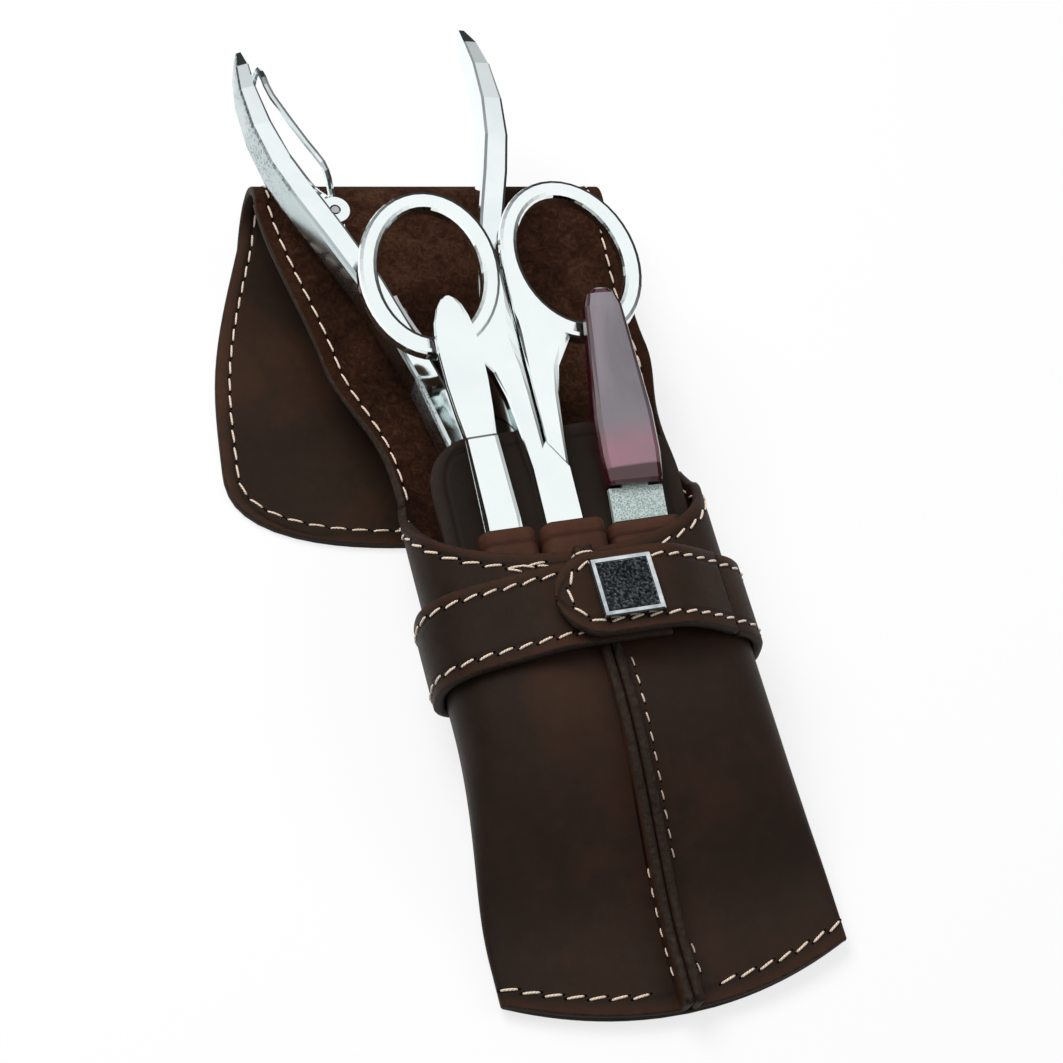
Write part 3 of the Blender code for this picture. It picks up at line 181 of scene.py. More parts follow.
def fin_height(y):
    return mix(SEAM_FIN_LOW, SEAM_FIN_HIGH, smooth(y, SEAM_FIN_LOW_Y, STRAP_Y - STRAP_WIDTH / 2))


def sag(x, y):
    return BOTTOM_SAG * (2 * x / CASE_WIDTH) ** 2 * (1 - smooth(y, 0, SAG_REACH))


def mouth_drop(share):
    along = (1 - min(1.0, abs(share))) / (1 - SIDE_COLUMN_SHARE)
    return (MOUTH_SIDE_Y - MOUTH_CENTRE_Y) * (1 - along ** MOUTH_CURVE_SHARE)


def tube_row_y(share, row_y):
    if abs(share) <= SIDE_COLUMN_SHARE:
        return row_y
    return row_y - mouth_drop(share) * smooth(row_y, MOUTH_SIDE_Y / 2, MOUTH_SIDE_Y)


def panel_half_width(y):
    lower = tube_width(MOUTH_SIDE_Y) * sin(pi * SIDE_COLUMN_SHARE) ** ROUNDNESS_SHARE
    width = mix(lower, (PANEL_WIDTH - LEATHER) / 2, smooth(y, MOUTH_SIDE_Y, FLATTEN_Y))
    return mix(width, FOLD_WIDTH / 2, smooth(y, FLATTEN_Y, FOLD_Y))


def panel_point(share, y):
    closed = tube_point(share * SIDE_COLUMN_SHARE, y)
    flat = Vector((share * panel_half_width(y), y, LEATHER / 2))
    point = closed.lerp(flat, smooth(y, MOUTH_SIDE_Y, FLATTEN_Y))
    late = smooth(y, MOUTH_SIDE_Y, FOLD_Y)
    point.x += FOLD_X * late
    point.y -= tan(FOLD_SKEW) * (point.x - FOLD_X) * late
    return point


def body_surface(u, row_y):
    """u runs over the shares; past 1 it climbs the fin. row_y past the mouth runs up the panel."""
    side = 1 if u >= 0 else -1
    if row_y > MOUTH_SIDE_Y:
        return panel_point(u / SIDE_COLUMN_SHARE, row_y)
    if abs(u) <= 1:
        y = tube_row_y(u, row_y)
        point = tube_point(u, y)
        seam = tube_point(1.0, y)
        edge = (LEATHER + GAP) / 2 + SEAM_BEND
        if abs(u) > 0.9 and (point.x - seam.x) * side < edge:
            point.x = seam.x + side * edge
    else:
        y = tube_row_y(1.0, row_y)
        point = tube_point(1.0, y)
        climb = abs(u) - 1
        half = (LEATHER + GAP) / 2
        turn = min(1.0, climb * 2) * pi / 2
        point.x += side * (half + SEAM_BEND * (1 - sin(turn)))
        low = SEAM_BEND * (1 - cos(turn))
        point.z += low if climb <= 0.5 else mix(SEAM_BEND, fin_height(y), climb * 2 - 1)
    point.y += sag(point.x, y)
    return point


def fold_axes():
    return Vector((cos(FOLD_SKEW), -sin(FOLD_SKEW), 0)), Vector((sin(FOLD_SKEW), cos(FOLD_SKEW), 0))


def fold_point():
    return Vector((FOLD_X, FOLD_Y, LEATHER / 2))


def wedge_angle():
    x = -tan(FOLD_SKEW) * (CASE_WIDTH / 2) ** 2 / (2 * BOTTOM_SAG)
    lowest = Vector((x, BOTTOM_SAG * (2 * x / CASE_WIDTH) ** 2, 0))
    reach = (fold_point() - lowest).dot(fold_axes()[1])
    return 2 * atan((reach - sqrt(reach ** 2 - 2 * LEATHER * BEND_RADIUS)) / LEATHER)


def flap_surface(across_x, v):
    along, across = fold_axes()
    turn = pi + wedge_angle()
    arc = BEND_RADIUS * turn
    angle = max(0, min(v, arc)) / BEND_RADIUS
    g = BEND_RADIUS * sin(angle)
    z = -BEND_RADIUS + BEND_RADIUS * cos(angle)
    if v > arc:
        g += (v - arc) * cos(turn)
        z -= (v - arc) * sin(turn)
    drift = across_x - tan(FOLD_SKEW) * max(0, v - arc)
    return fold_point() + along * drift + across * g + Vector((0, 0, z))


def flap_half_width(v):
    half = mix(FOLD_WIDTH, FLAP_WIDTH, smooth(v, 0, FLAP_WIDEST)) / 2
    half -= FLAP_TAPER * smooth(v, FLAP_WIDEST, FLAP_LENGTH)
    into = max(0, v - (FLAP_LENGTH - FLAP_CORNER)) / FLAP_CORNER
    return half * max(0, 1 - into ** FLAP_CORNER_SHARE) ** (1 / FLAP_CORNER_SHARE)


def case_matrix():
    tilt = Matrix.Rotation(wedge_angle(), 4, fold_axes()[0])
    v = mix(BEND_RADIUS * (pi + wedge_angle()), FLAP_LENGTH, 0.5)
    down = Matrix.Rotation(-wedge_angle(), 3, fold_axes()[0]) @ Vector((0, 0, -1))
    rest = flap_surface(0, v) + down * LEATHER / 2
    return Matrix.Translation(-(tilt @ rest)) @ tilt


CASE = case_matrix()


def strap_offset():
    return LEATHER / 2 + GAP + STRAP_THICKNESS / 2


def strap_point(share, lift, fade):
    point = tube_point(share, STRAP_Y, strap_offset())
    if abs(share) > 0.5:
        point.z += lift * (1 - smooth(abs(point.x), CREST_HALF, fade))
    return point


def share_at_x(x):
    low, high = 0.5, 1.0
    side = 1 if x >= tube_point(1.0, STRAP_Y, strap_offset()).x else -1
    for _ in range(40):
        middle = (low + high) / 2
        beyond = (tube_point(side * middle, STRAP_Y, strap_offset()).x - x) * side
        low, high = (middle, high) if beyond > 0 else (low, middle)
    return side * low


def divider_z(y):
    foot = LEATHER + GAP + DIVIDER_THICKNESS / 2
    lower = (DIVIDER_KNEE_Z - foot) / (DIVIDER_KNEE_Y - DIVIDER_FOOT_Y)
    upper = (DIVIDER_TOP_Z - DIVIDER_KNEE_Z) / (DIVIDER_TOP_Y - DIVIDER_KNEE_Y)
    rise = y - DIVIDER_KNEE_Y
    return max(DIVIDER_KNEE_Z + min(rise * lower, rise * upper), foot)


# Materials


class Nodes:
    """Short calls for building one material's nodes."""

    def __init__(self, name):
        self.material = bpy.data.materials.new(name)
        self.material.use_nodes = True
        self.tree = self.material.node_tree
        self.shader = self.tree.nodes["Principled BSDF"]

    def add(self, kind, **settings):
        node = self.tree.nodes.new(kind)
        for key, value in settings.items():
            if hasattr(node, key):
                setattr(node, key, value)
            else:
                node.inputs[key.replace("_", " ")].default_value = value
        return node

    def link(self, source, target):
        self.tree.links.new(source, target)

    def noise(self, vector, scale, detail=4.0, roughness=0.6, distortion=0.0):
        node = self.add("ShaderNodeTexNoise", Scale=scale, Detail=detail, Roughness=roughness,
                        Distortion=distortion)
        self.link(vector, node.inputs["Vector"])
        return node.outputs["Fac"]

    def cells(self, vector, scale, feature="F1"):
        node = self.add("ShaderNodeTexVoronoi", feature=feature, Scale=scale)
        self.link(vector, node.inputs["Vector"])
        return node.outputs["Distance"]

    def ramp(self, value, stops):
        node = self.add("ShaderNodeValToRGB")
        band = node.color_ramp
        while len(band.elements) < len(stops):
            band.elements.new(0.5)
        for element, (place, colour) in zip(band.elements, stops):
            element.position = place
            element.color = (*colour, 1.0)
        self.link(value, node.inputs["Fac"])
        return node.outputs["Color"]

    def math(self, operation, a, b=0.0):
        node = self.add("ShaderNodeMath", operation=operation)
        for slot, value in zip(node.inputs, (a, b)):
            if isinstance(value, (int, float)):
                slot.default_value = value
            else:
                self.link(value, slot)
        return node.outputs[0]

    def times(self, a, b):
        return self.math("MULTIPLY", a, b)

    def plus(self, a, b):
        return self.math("ADD", a, b)

    def split(self, vector):
        node = self.add("ShaderNodeSeparateXYZ")
        self.link(vector, node.inputs[0])
        return node.outputs

    def pulled_in(self, rim):
        """1 on the line of the stitching and 0 beside it."""
        away = self.math("ABSOLUTE", self.math("SUBTRACT", rim, STITCH_INSET))
        return self.math("SUBTRACT", 1.0, self.spread(away, 0.0, GROOVE_HALF))

    def spread(self, value, low, high, out_low=0.0, out_high=1.0):
        node = self.add("ShaderNodeMapRange", From_Min=low, From_Max=high,
                        To_Min=out_low, To_Max=out_high)
        self.link(value, node.inputs["Value"])
        return node.outputs["Result"]

    def blend(self, share, a, b):
        node = self.add("ShaderNodeMix", data_type="RGBA")
        if isinstance(share, (int, float)):
            node.inputs["Factor"].default_value = share
        else:
            self.link(share, node.inputs["Factor"])
        for key, value in (("A", a), ("B", b)):
            slot = [s for s in node.inputs if s.name == key and s.type == "RGBA"][0]
            if isinstance(value, tuple):
                slot.default_value = (*value, 1.0)
            else:
                self.link(value, slot)
        return [s for s in node.outputs if s.type == "RGBA"][0]

    def bump(self, height, strength, distance, after=None):
        node = self.add("ShaderNodeBump", Strength=strength, Distance=distance)
        self.link(height, node.inputs["Height"])
        if after is not None:
            self.link(after, node.inputs["Normal"])
        return node.outputs["Normal"]

    def place(self, scale=(1, 1, 1), turn=(0, 0, 0)):
        where = self.add("ShaderNodeTexCoord").outputs["Object"]
        node = self.add("ShaderNodeMapping")
        node.inputs["Scale"].default_value = scale
        node.inputs["Rotation"].default_value = turn
        self.link(where, node.inputs["Vector"])
        return node.outputs["Vector"]

    def local(self, matrix):
        """The point in another frame, given by that frame's matrix in the model's."""
        back = matrix.inverted()
        node = self.add("ShaderNodeMapping")
        node.inputs["Location"].default_value = back.to_translation()
        node.inputs["Rotation"].default_value = back.to_euler()
        self.link(self.add("ShaderNodeTexCoord").outputs["Object"], node.inputs["Vector"])
        return node.outputs["Vector"]

    def value(self, name):
        return self.add("ShaderNodeAttribute", attribute_name=name).outputs["Fac"]

    def plain(self, **sockets):
        for key, value in sockets.items():
            self.shader.inputs[key.replace("_", " ")].default_value = value

    def finish(self, **links):
        for key, source in links.items():
            self.link(source, self.shader.inputs[key.replace("_", " ")])
        return self.material


def grain_leather(name, dark, middle, light, warm=(0.055, 0.020, 0.010)):
    """Dressed leather: cloudy tone, fine pores, a groove pulled in along the stitching, a paler rim."""
    m = Nodes(name)
    where = m.place()
    broad = m.noise(where, 22, 4, 0.55, 0.5)
    fine = m.noise(where, 420, 5, 0.65)
    shade = m.plus(m.times(broad, 0.80), m.times(fine, 0.20))
    colour = m.ramp(shade, ((0.36, dark), (0.52, middle), (0.68, light)))
    warmth = m.spread(m.noise(where, 38, 4, 0.6, 0.9), 0.52, 0.74, 0.0, 0.30)
    colour = m.blend(warmth, colour, warm)
    pores = m.cells(where, 1500)
    colour = m.blend(m.spread(pores, 0.0, 0.30, 0.30, 0.0), colour, dark)
    rim = m.value("rim")
    scuffed = m.times(m.spread(rim, 0.0, 0.0020, 0.55, 0.0), m.spread(fine, 0.35, 0.65, 0.5, 1.0))
    colour = m.blend(scuffed, colour, warm)
    pulled = m.pulled_in(rim)
    colour = m.blend(m.times(pulled, 0.45), colour, dark)
    rough = m.spread(m.plus(shade, m.times(pores, 0.3)), 0.3, 0.9, 0.42, 0.62)
    grain = m.bump(m.cells(m.place((1, 0.7, 1)), 1100, "SMOOTH_F1"), 0.30, 0.00006)
    grain = m.bump(fine, 0.25, 0.00008, grain)
    grain = m.bump(m.noise(where, 75, 3), 0.20, 0.0004, grain)
    grain = m.bump(m.times(pulled, -1.0), 0.7, 0.00022, grain)
    m.plain(Specular_IOR_Level=0.12)
    return m.finish(Base_Color=colour, Roughness=rough, Normal=grain)


def suede(name, dark, middle, light):
    """The flesh side: short nap in clumps, darker where it is pressed by the stitching."""
    m = Nodes(name)
    where = m.place()
    nap = m.noise(m.place((1, 0.6, 1), (0, 0, 0.5)), 1500, 6, 0.8, 1.2)
    clumps = m.noise(where, 420, 5, 0.75, 1.4)
    broad = m.noise(where, 55, 4, 0.6, 0.8)
    shade = m.plus(m.times(nap, 0.30), m.plus(m.times(clumps, 0.42), m.times(broad, 0.28)))
    colour = m.ramp(shade, ((0.40, dark), (0.51, middle), (0.64, light)))
    rim = m.value("rim")
    colour = m.blend(m.spread(rim, STITCH_INSET * 0.5, STITCH_INSET * 1.1, 0.6, 0.0), colour, middle)
    pulled = m.pulled_in(rim)
    colour = m.blend(m.times(pulled, 0.5), colour, dark)
    normal = m.bump(nap, 0.8, 0.00025)
    normal = m.bump(clumps, 0.7, 0.0005, normal)
    normal = m.bump(m.times(pulled, -1.0), 0.7, 0.00022, normal)
    m.plain(Roughness=0.95, Specular_IOR_Level=0.05, Sheen_Weight=0.04, Sheen_Roughness=0.5,
            Sheen_Tint=(0.55, 0.28, 0.20, 1.0))
    return m.finish(Base_Color=colour, Normal=normal)


def cut_edge(name):
    m = Nodes(name)
    where = m.place((1, 1, 3))
    fibre = m.noise(where, 900, 5, 0.7)
    colour = m.ramp(fibre, ((0.35, (0.010, 0.007, 0.005)), (0.6, (0.026, 0.017, 0.012)),
                            (0.8, (0.060, 0.040, 0.027))))
    m.plain(Specular_IOR_Level=0.15)
    return m.finish(Base_Color=colour, Roughness=m.spread(fibre, 0.3, 0.8, 0.5, 0.75),
                    Normal=m.bump(fibre, 0.4, 0.0001))


def thread():
    m = Nodes("waxed_thread")
    wave = m.math("ABSOLUTE", m.math("SINE", m.value("twist")))
    fuzz = m.noise(m.place(), 2600, 3, 0.7)
    # Darker where the twist dips: painted shade in the grooves between the plies.
    colour = m.ramp(m.plus(m.times(wave, 0.6), m.times(fuzz, 0.4)),
                    ((0.15, (0.32, 0.22, 0.16)), (0.5, (0.58, 0.45, 0.35)), (0.85, (0.74, 0.61, 0.50))))
    m.plain(Roughness=0.7, Specular_IOR_Level=0.3, Sheen_Weight=0.2)
    return m.finish(Base_Color=colour, Normal=m.bump(wave, 0.5, 0.00006))


def plated(name, colour=(0.88, 0.945, 0.945), rough=0.05, tint=(0.80, 0.875, 0.885), dents_and_painted_shade=None):
    """Bright plating with faint polishing haze. The optional masks add a satin side, rougher and tinted
    grey-blue as painted shade, with pitted patches whose pit bottoms are darkened as painted shade.
    """
    m = Nodes(name)
    where = m.place()
    smear = m.noise(where, 70, 4, 0.6, 0.4)
    hair = m.noise(m.place((1, 0.05, 1)), 2600, 2, 0.5)
    shade = m.blend(m.spread(smear, 0.35, 0.7), colour, tint)
    roughness = m.plus(m.spread(smear, 0.3, 0.75, rough, rough + 0.05), m.times(hair, HAIR_ROUGHNESS))
    normal = m.bump(m.noise(where, 110, 2, 0.4), 0.05, 0.0003)
    if dents_and_painted_shade is not None:
        cut, pits_and_painted_shade, side = dents_and_painted_shade(m)
        # Painted shade: the outer side's colour is tinted grey-blue; the added roughness below is the
        # real satin finish.
        shade = m.blend(m.times(side, 0.85), shade, (0.46, 0.54, 0.55))
        # Painted shade: the pit bottoms are darkened; the pits themselves are bumps.
        shade = m.blend(m.times(m.spread(cut, 0.20, 0.45, 0.80, 0.0), pits_and_painted_shade), shade,
                        (0.12, 0.14, 0.155))
        roughness = m.plus(roughness, m.plus(m.times(pits_and_painted_shade, 0.20), m.times(side, 0.10)))
        normal = m.bump(m.times(cut, pits_and_painted_shade), 0.45, 0.0002, normal)
    m.plain(Metallic=1.0)
    return m.finish(Base_Color=shade, Roughness=roughness, Normal=normal)


def hammered(m):
    """Masks for the nipper handle's outer side, which gets satin roughness and a grey-blue painted-shade
    tint, and for where it is pitted like hammered metal, the pits darkened with painted shade.
    """
    local = m.local(CASE)
    along = m.split(local)["Y"]

    def between(low, high, fade):
        return m.times(m.spread(along, low, low + fade), m.spread(along, high - fade, high, 1, 0))

    bands = m.math("MAXIMUM", between(GRIP_LOW, GRIP_TOP, 0.002), between(KNURL_LOW, KNURL_TOP, 0.001))
    normal = m.add("ShaderNodeNewGeometry").outputs["True Normal"]
    outer = m.spread(m.split(normal)["X"], -0.15, -0.45)
    patches = m.spread(m.noise(local, 130, 3, 0.5), 0.42, 0.58)
    return m.cells(local, 1500), m.times(m.times(bands, outer), patches), outer


def brushed(name, colour, dark, rough):
    m = Nodes(name)
    hair = m.noise(m.place((1, 0.05, 1)), 2200, 4, 0.6)
    shade = m.blend(m.spread(hair, 0.3, 0.7), dark, colour)
    m.plain(Metallic=1.0)
    return m.finish(Base_Color=shade, Roughness=m.spread(hair, 0.2, 0.8, rough, rough + 0.15),
                    Normal=m.bump(hair, 0.15, 0.00005))


def grit():
    m = Nodes("file_cut")
    where = m.place()
    grains = m.cells(where, 3600)
    sparkle = m.noise(where, 2600, 4, 0.85)
    shade = m.plus(m.times(grains, 0.45), m.times(sparkle, 0.65))
    colour = m.ramp(shade, ((0.36, (0.16, 0.21, 0.20)), (0.50, (0.38, 0.47, 0.45)),
                            (0.64, (0.60, 0.70, 0.68))))
    m.plain(Metallic=0.5, Specular_IOR_Level=0.3)
    return m.finish(Base_Color=colour, Roughness=m.spread(sparkle, 0.3, 0.7, 0.40, 0.70),
                    Normal=m.bump(shade, 0.8, 0.00012))


def burgundy():
    """Deep red plastic whose flat front gets a pale lilac painted reflection, with a painted red glow
    near the blade where light shines through.
    """
    m = Nodes("burgundy_handle")
    along = m.split(m.local(CASE))["Y"]
    swirl = m.noise(m.place((1, 0.35, 1)), 85, 4, 0.6, 1.0)
    # Painted light: a red glow near the blade, as if light shone through the plastic.
    glow = m.times(m.spread(along, HANDLE_GLOW_Y + 0.0035, HANDLE_GLOW_Y - 0.001),
                   m.spread(swirl, 0.3, 0.6, 0.6, 1))
    # Painted reflection: a pale lilac sheen in the base colour.
    painted_sheen_and_glow = m.ramp(swirl, ((0.3, (0.105, 0.092, 0.105)), (0.7, (0.160, 0.142, 0.160))))
    painted_sheen_and_glow = m.blend(glow, painted_sheen_and_glow, (0.23, 0.105, 0.140))
    # Only the face turned up towards the light, above the handle's low end, gets the painted reflection
    # and glow.
    face = m.add("ShaderNodeVectorMath", operation="DOT_PRODUCT")
    m.link(m.add("ShaderNodeNewGeometry").outputs["Normal"], face.inputs[0])
    up = CASE.to_3x3() @ Vector((0, -sin(FILE_PITCH), cos(FILE_PITCH)))
    face.inputs[1].default_value = up
    front = m.times(m.spread(face.outputs["Value"], 0.86, 0.975),
                    m.spread(along, HANDLE_LOW_Y + 0.0010, HANDLE_LOW_Y + 0.0014))
    colour = m.blend(front, (0.030, 0.0035, 0.0070), painted_sheen_and_glow)
    m.plain(IOR=1.49, Coat_Weight=0.7, Coat_Roughness=0.06, Specular_IOR_Level=0.5)
    haze = m.noise(m.place(), 120, 3)
    return m.finish(Base_Color=colour, Roughness=m.spread(haze, 0.3, 0.7, 0.14, 0.24))


def badge_metal():
    """A bright rim round a dark pebbled field; the field is told by its place in the badge."""
    m = Nodes("badge_metal")
    low, high = [Vector(corner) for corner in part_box("badge_cap")]
    middle = CASE.inverted() @ ((low + high) / 2)
    place = m.split(m.local(CASE @ Matrix.Translation(middle)))
    reach = m.math("MAXIMUM", m.math("ABSOLUTE", place["X"]), m.math("ABSOLUTE", place["Y"]))
    field = m.spread(reach, BADGE_SIZE / 2 - BADGE_RIM - 0.0001, BADGE_SIZE / 2 - BADGE_RIM, 1.0, 0.0)
    where = m.place()
    pebbles = m.cells(where, 2600, "SMOOTH_F1")
    wear = m.noise(where, 300, 4, 0.6)
    pits = m.ramp(m.plus(m.times(pebbles, 0.8), m.times(wear, 0.35)),
                  ((0.30, (0.17, 0.19, 0.20)), (0.50, (0.050, 0.058, 0.064)),
                   (0.72, (0.012, 0.014, 0.016))))
    rim = m.ramp(wear, ((0.35, (0.40, 0.45, 0.47)), (0.6, (0.74, 0.79, 0.81))))
    m.plain(Metallic=1.0)
    height = m.times(pebbles, field)
    return m.finish(Base_Color=m.blend(field, rim, pits), Roughness=m.spread(field, 0, 1, 0.22, 0.48),
                    Normal=m.bump(m.times(height, -1.0), 0.9, 0.00025))


def floor_material():
    """Pale floor, shown nearly white to the eye but still keeping the object's shadow."""
    m = Nodes("studio_floor")
    tone = m.noise(m.place(), 3, 2)
    colour = m.ramp(tone, ((0.3, (0.68, 0.68, 0.68)), (0.7, (0.71, 0.71, 0.71))))
    m.plain(Roughness=0.9, Specular_IOR_Level=0.1)
    material = m.finish(Base_Color=colour)
    glow = m.add("ShaderNodeEmission", Strength=1.0)
    glow.inputs["Color"].default_value = (1.0, 1.0, 1.0, 1.0)
    path = m.add("ShaderNodeLightPath")
    share = m.math("MAXIMUM", m.times(path.outputs["Is Camera Ray"], 0.75),
                   m.times(path.outputs["Is Glossy Ray"], 0.25))
    both = m.add("ShaderNodeMixShader")
    m.link(share, both.inputs["Fac"])
    m.link(m.shader.outputs[0], both.inputs[1])
    m.link(glow.outputs[0], both.inputs[2])
    m.link(both.outputs[0], m.tree.nodes["Material Output"].inputs["Surface"])
    return material


# Meshes


def make_sheet(name, points, thickness, finishes, edge_distance, before=None, after=None, flush=None):
    """A leather sheet from a grid of middle points: outer face, inner face and rounded rims.

    finishes are for the face on the side of the grid's normal, the other face and the cut edge.
    before and after are rows past the ends, where the leather runs on in another piece. There
    flush(row, column) is true and the end is cut square, so that the two pieces meet.
    """
    rows, columns = len(points), len(points[0])
    normals = [[None] * columns for _ in range(rows)]
    for i in range(rows):
        behind = points[i - 1] if i else before or points[0]
        ahead = points[i + 1] if i < rows - 1 else after or points[-1]
        for j in range(columns):
            a = ahead[j] - behind[j]
            b = points[i][min(j + 1, columns - 1)] - points[i][max(j - 1, 0)]
            normal = b.cross(a)
            normals[i][j] = normal.normalized() if normal.length > 1e-12 else None
    for i in range(rows):
        good = [n for n in normals[i] if n is not None]
        for j in range(columns):
            if normals[i][j] is None:
                normals[i][j] = good[0] if good else normals[i - 1][j]
    half = thickness / 2
    soft = half * 0.55
    bm = bmesh.new()
    rim_layer = bm.verts.layers.float.new("rim")

    def inward(i, j):
        """Direction in the sheet away from its edge, at an edge point."""
        di = 0 if flush and flush(i, j) else 1 if i == 0 else -1 if i == rows - 1 else 0
        dj = 1 if j == 0 else -1 if j == columns - 1 else 0
        step = Vector((0, 0, 0))
        if di:
            step += (points[i + di][j] - points[i][j]).normalized()
        if dj:
            step += (points[i][j + dj] - points[i][j]).normalized()
        return step.normalized() if step.length > 1e-12 else step

    faces = {}
    for sign in (1, -1):
        layer = []
        for i in range(rows):
            line = []
            for j in range(columns):
                place = points[i][j] + normals[i][j] * half * sign
                if i in (0, rows - 1) or j in (0, columns - 1):
                    place = place + inward(i, j) * soft
                vert = bm.verts.new(place)
                vert[rim_layer] = edge_distance(i, j)
                line.append(vert)
            layer.append(line)
        faces[sign] = layer
        for i in range(rows - 1):
            for j in range(columns - 1):
                corners = [layer[i][j], layer[i][j + 1], layer[i + 1][j + 1], layer[i + 1][j]]
                if sign < 0:
                    corners.reverse()
                try:
                    face = bm.faces.new(corners)
                except ValueError:
                    continue
                face.material_index = 0 if sign > 0 else 1
    ring = [(0, j) for j in range(columns)] + [(i, columns - 1) for i in range(1, rows)]
    ring += [(rows - 1, j) for j in range(columns - 2, -1, -1)] + [(i, 0) for i in range(rows - 2, 0, -1)]
    shells = [[faces[1][i][j] for i, j in ring]]
    for turn in (35, 90, 145):
        line = []
        for i, j in ring:
            lift = cos(radians(turn)) * half
            back = (1 - sin(radians(turn))) * soft
            place = points[i][j] + normals[i][j] * lift + inward(i, j) * back
            vert = bm.verts.new(place)
            vert[rim_layer] = 0.0
            line.append(vert)
        shells.append(line)
    shells.append([faces[-1][i][j] for i, j in ring])
    count = len(ring)
    square = [flush is not None and i in (0, rows - 1) and flush(i, j) for i, j in ring]
    for a, b in zip(shells, shells[1:]):
        for k in range(count):
            n = (k + 1) % count
            try:
                face = bm.faces.new((a[n], a[k], b[k], b[n]))
            except ValueError:
                continue
            face.material_index = 2
    for shell in (shells[0], shells[-1]):
        for k in range(count):
            n = (k + 1) % count
            corner = bm.edges.get((shell[k], shell[n]))
            if corner and square[k] and square[n]:
                corner.smooth = False
    bmesh.ops.remove_doubles(bm, verts=bm.verts, dist=1e-7)
    bmesh.ops.dissolve_degenerate(bm, edges=bm.edges, dist=1e-8)
    mesh = bpy.data.meshes.new(name)
    bm.to_mesh(mesh)
    bm.free()
    mesh.transform(CASE)
    for finish in finishes:
        mesh.materials.append(finish)
    mesh.shade_smooth()
    obj = bpy.data.objects.new(name, mesh)
    bpy.context.scene.collection.objects.link(obj)
    return obj


def stitch_points(path, pitch):
    """Even (point, ahead, normal) stations along a path of (point, normal)."""
    lengths = [0.0]
    for (a, _), (b, _) in zip(path, path[1:]):
        lengths.append(lengths[-1] + (b - a).length)
    count = max(1, round(lengths[-1] / pitch))
    stations = []
    k = 0
    for i in range(count):
        want = lengths[-1] * (i + 0.5) / count
        while lengths[k + 1] < want:
            k += 1
        share = (want - lengths[k]) / max(1e-9, lengths[k + 1] - lengths[k])
        point = path[k][0].lerp(path[k + 1][0], share)
        normal = path[k][1].lerp(path[k + 1][1], share).normalized()
        ahead = (path[k + 1][0] - path[k][0]).normalized()
        stations.append((point, ahead, normal))
    return stations


def thread_tube(bm, twist, line, up, radii):
    """A twisted thread along a line of points, closed at both ends."""
    rings = []
    for i, (centre, normal, radius) in enumerate(zip(line, up, radii)):
        ahead = (line[min(i + 1, len(line) - 1)] - line[max(i - 1, 0)]).normalized()
        side = normal.cross(ahead).normalized()
        rise = ahead.cross(side)
        ring = []
        for k in range(8):
            angle = 2 * pi * k / 8
            vert = bm.verts.new(centre + side * cos(angle) * radius * 1.1 + rise * sin(angle) * radius)
            vert[twist] = i * 2.7 + angle
            ring.append(vert)
        rings.append(ring)
    for low, high in zip(rings, rings[1:]):
        for k in range(8):
            n = (k + 1) % 8
            bm.faces.new((low[k], low[n], high[n], high[k]))
    bm.faces.new(list(reversed(rings[0])))
    bm.faces.new(rings[-1])


def needle_hole_shade_disc(bm, point, ahead, normal, radius):
    """Painted shade of the hole where the thread goes through the leather: a flat closed lens in a
    near-black finish.
    """
    side = normal.cross(ahead).normalized()
    rim = []
    for k in range(8):
        angle = 2 * pi * k / 8
        rim.append(bm.verts.new(point + (ahead * cos(angle) * 1.5 + side * sin(angle)) * radius))
    top = bm.verts.new(point + normal * 0.00005)
    below = bm.verts.new(point - normal * 0.00010)
    for k in range(8):
        bm.faces.new((rim[k], rim[(k + 1) % 8], top)).material_index = 1
        bm.faces.new((rim[(k + 1) % 8], rim[k], below)).material_index = 1


def make_stitches(name, runs, body, arches=()):
    """Threads that rise from one hole, lie on the leather and go down the next.

    A run is a path with its pitch, stitch length, thread radius and slant. An arch is a single
    thread over three or more points, given with the way up at each.
    """
    bm = bmesh.new()
    twist = bm.verts.layers.float.new("twist")
    for path, pitch, length, radius, slant in runs:
        for point, ahead, normal in stitch_points(path, pitch):
            across = normal.cross(ahead).normalized()
            direction = (ahead + across * slant).normalized()
            arch = [1 - abs(2 * t - 1) ** 3 for t in spread(0, 1, 6)]
            line = [point + direction * (t - 0.5) * length + normal * radius * (1.5 * rise - 0.85)
                    for t, rise in zip(spread(0, 1, 6), arch)]
            thread_tube(bm, twist, line, [normal] * 7, [radius * (0.72 + 0.28 * rise) for rise in arch])
            # A near-black disc at each end of the stitch, painted shade where the needle went through.
            for end in (-0.5, 0.5):
                hole = point + direction * end * (length + radius)
                needle_hole_shade_disc(bm, hole, direction, normal, radius * 1.25)
    for line, up in arches:
        thread_tube(bm, twist, line, up, [THREAD] * len(line))
    bmesh.ops.recalc_face_normals(bm, faces=bm.faces)
    mesh = bpy.data.meshes.new(name)
    bm.to_mesh(mesh)
    bm.free()
    mesh.transform(CASE)
    mesh.materials.append(cream)
    mesh.materials.append(painted_hole_shade)
    mesh.shade_smooth()
    obj = bpy.data.objects.new(name, mesh)
    bpy.context.scene.collection.objects.link(obj)
    if body == "flap":
        across_the_fold(obj)
    else:
        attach(obj, body)
    return obj


def normal_of(surface, u, v, du, dv):
    a = surface(u + du, v) - surface(u - du, v)
    b = surface(u, v + dv) - surface(u, v - dv)
    return a.cross(b).normalized()


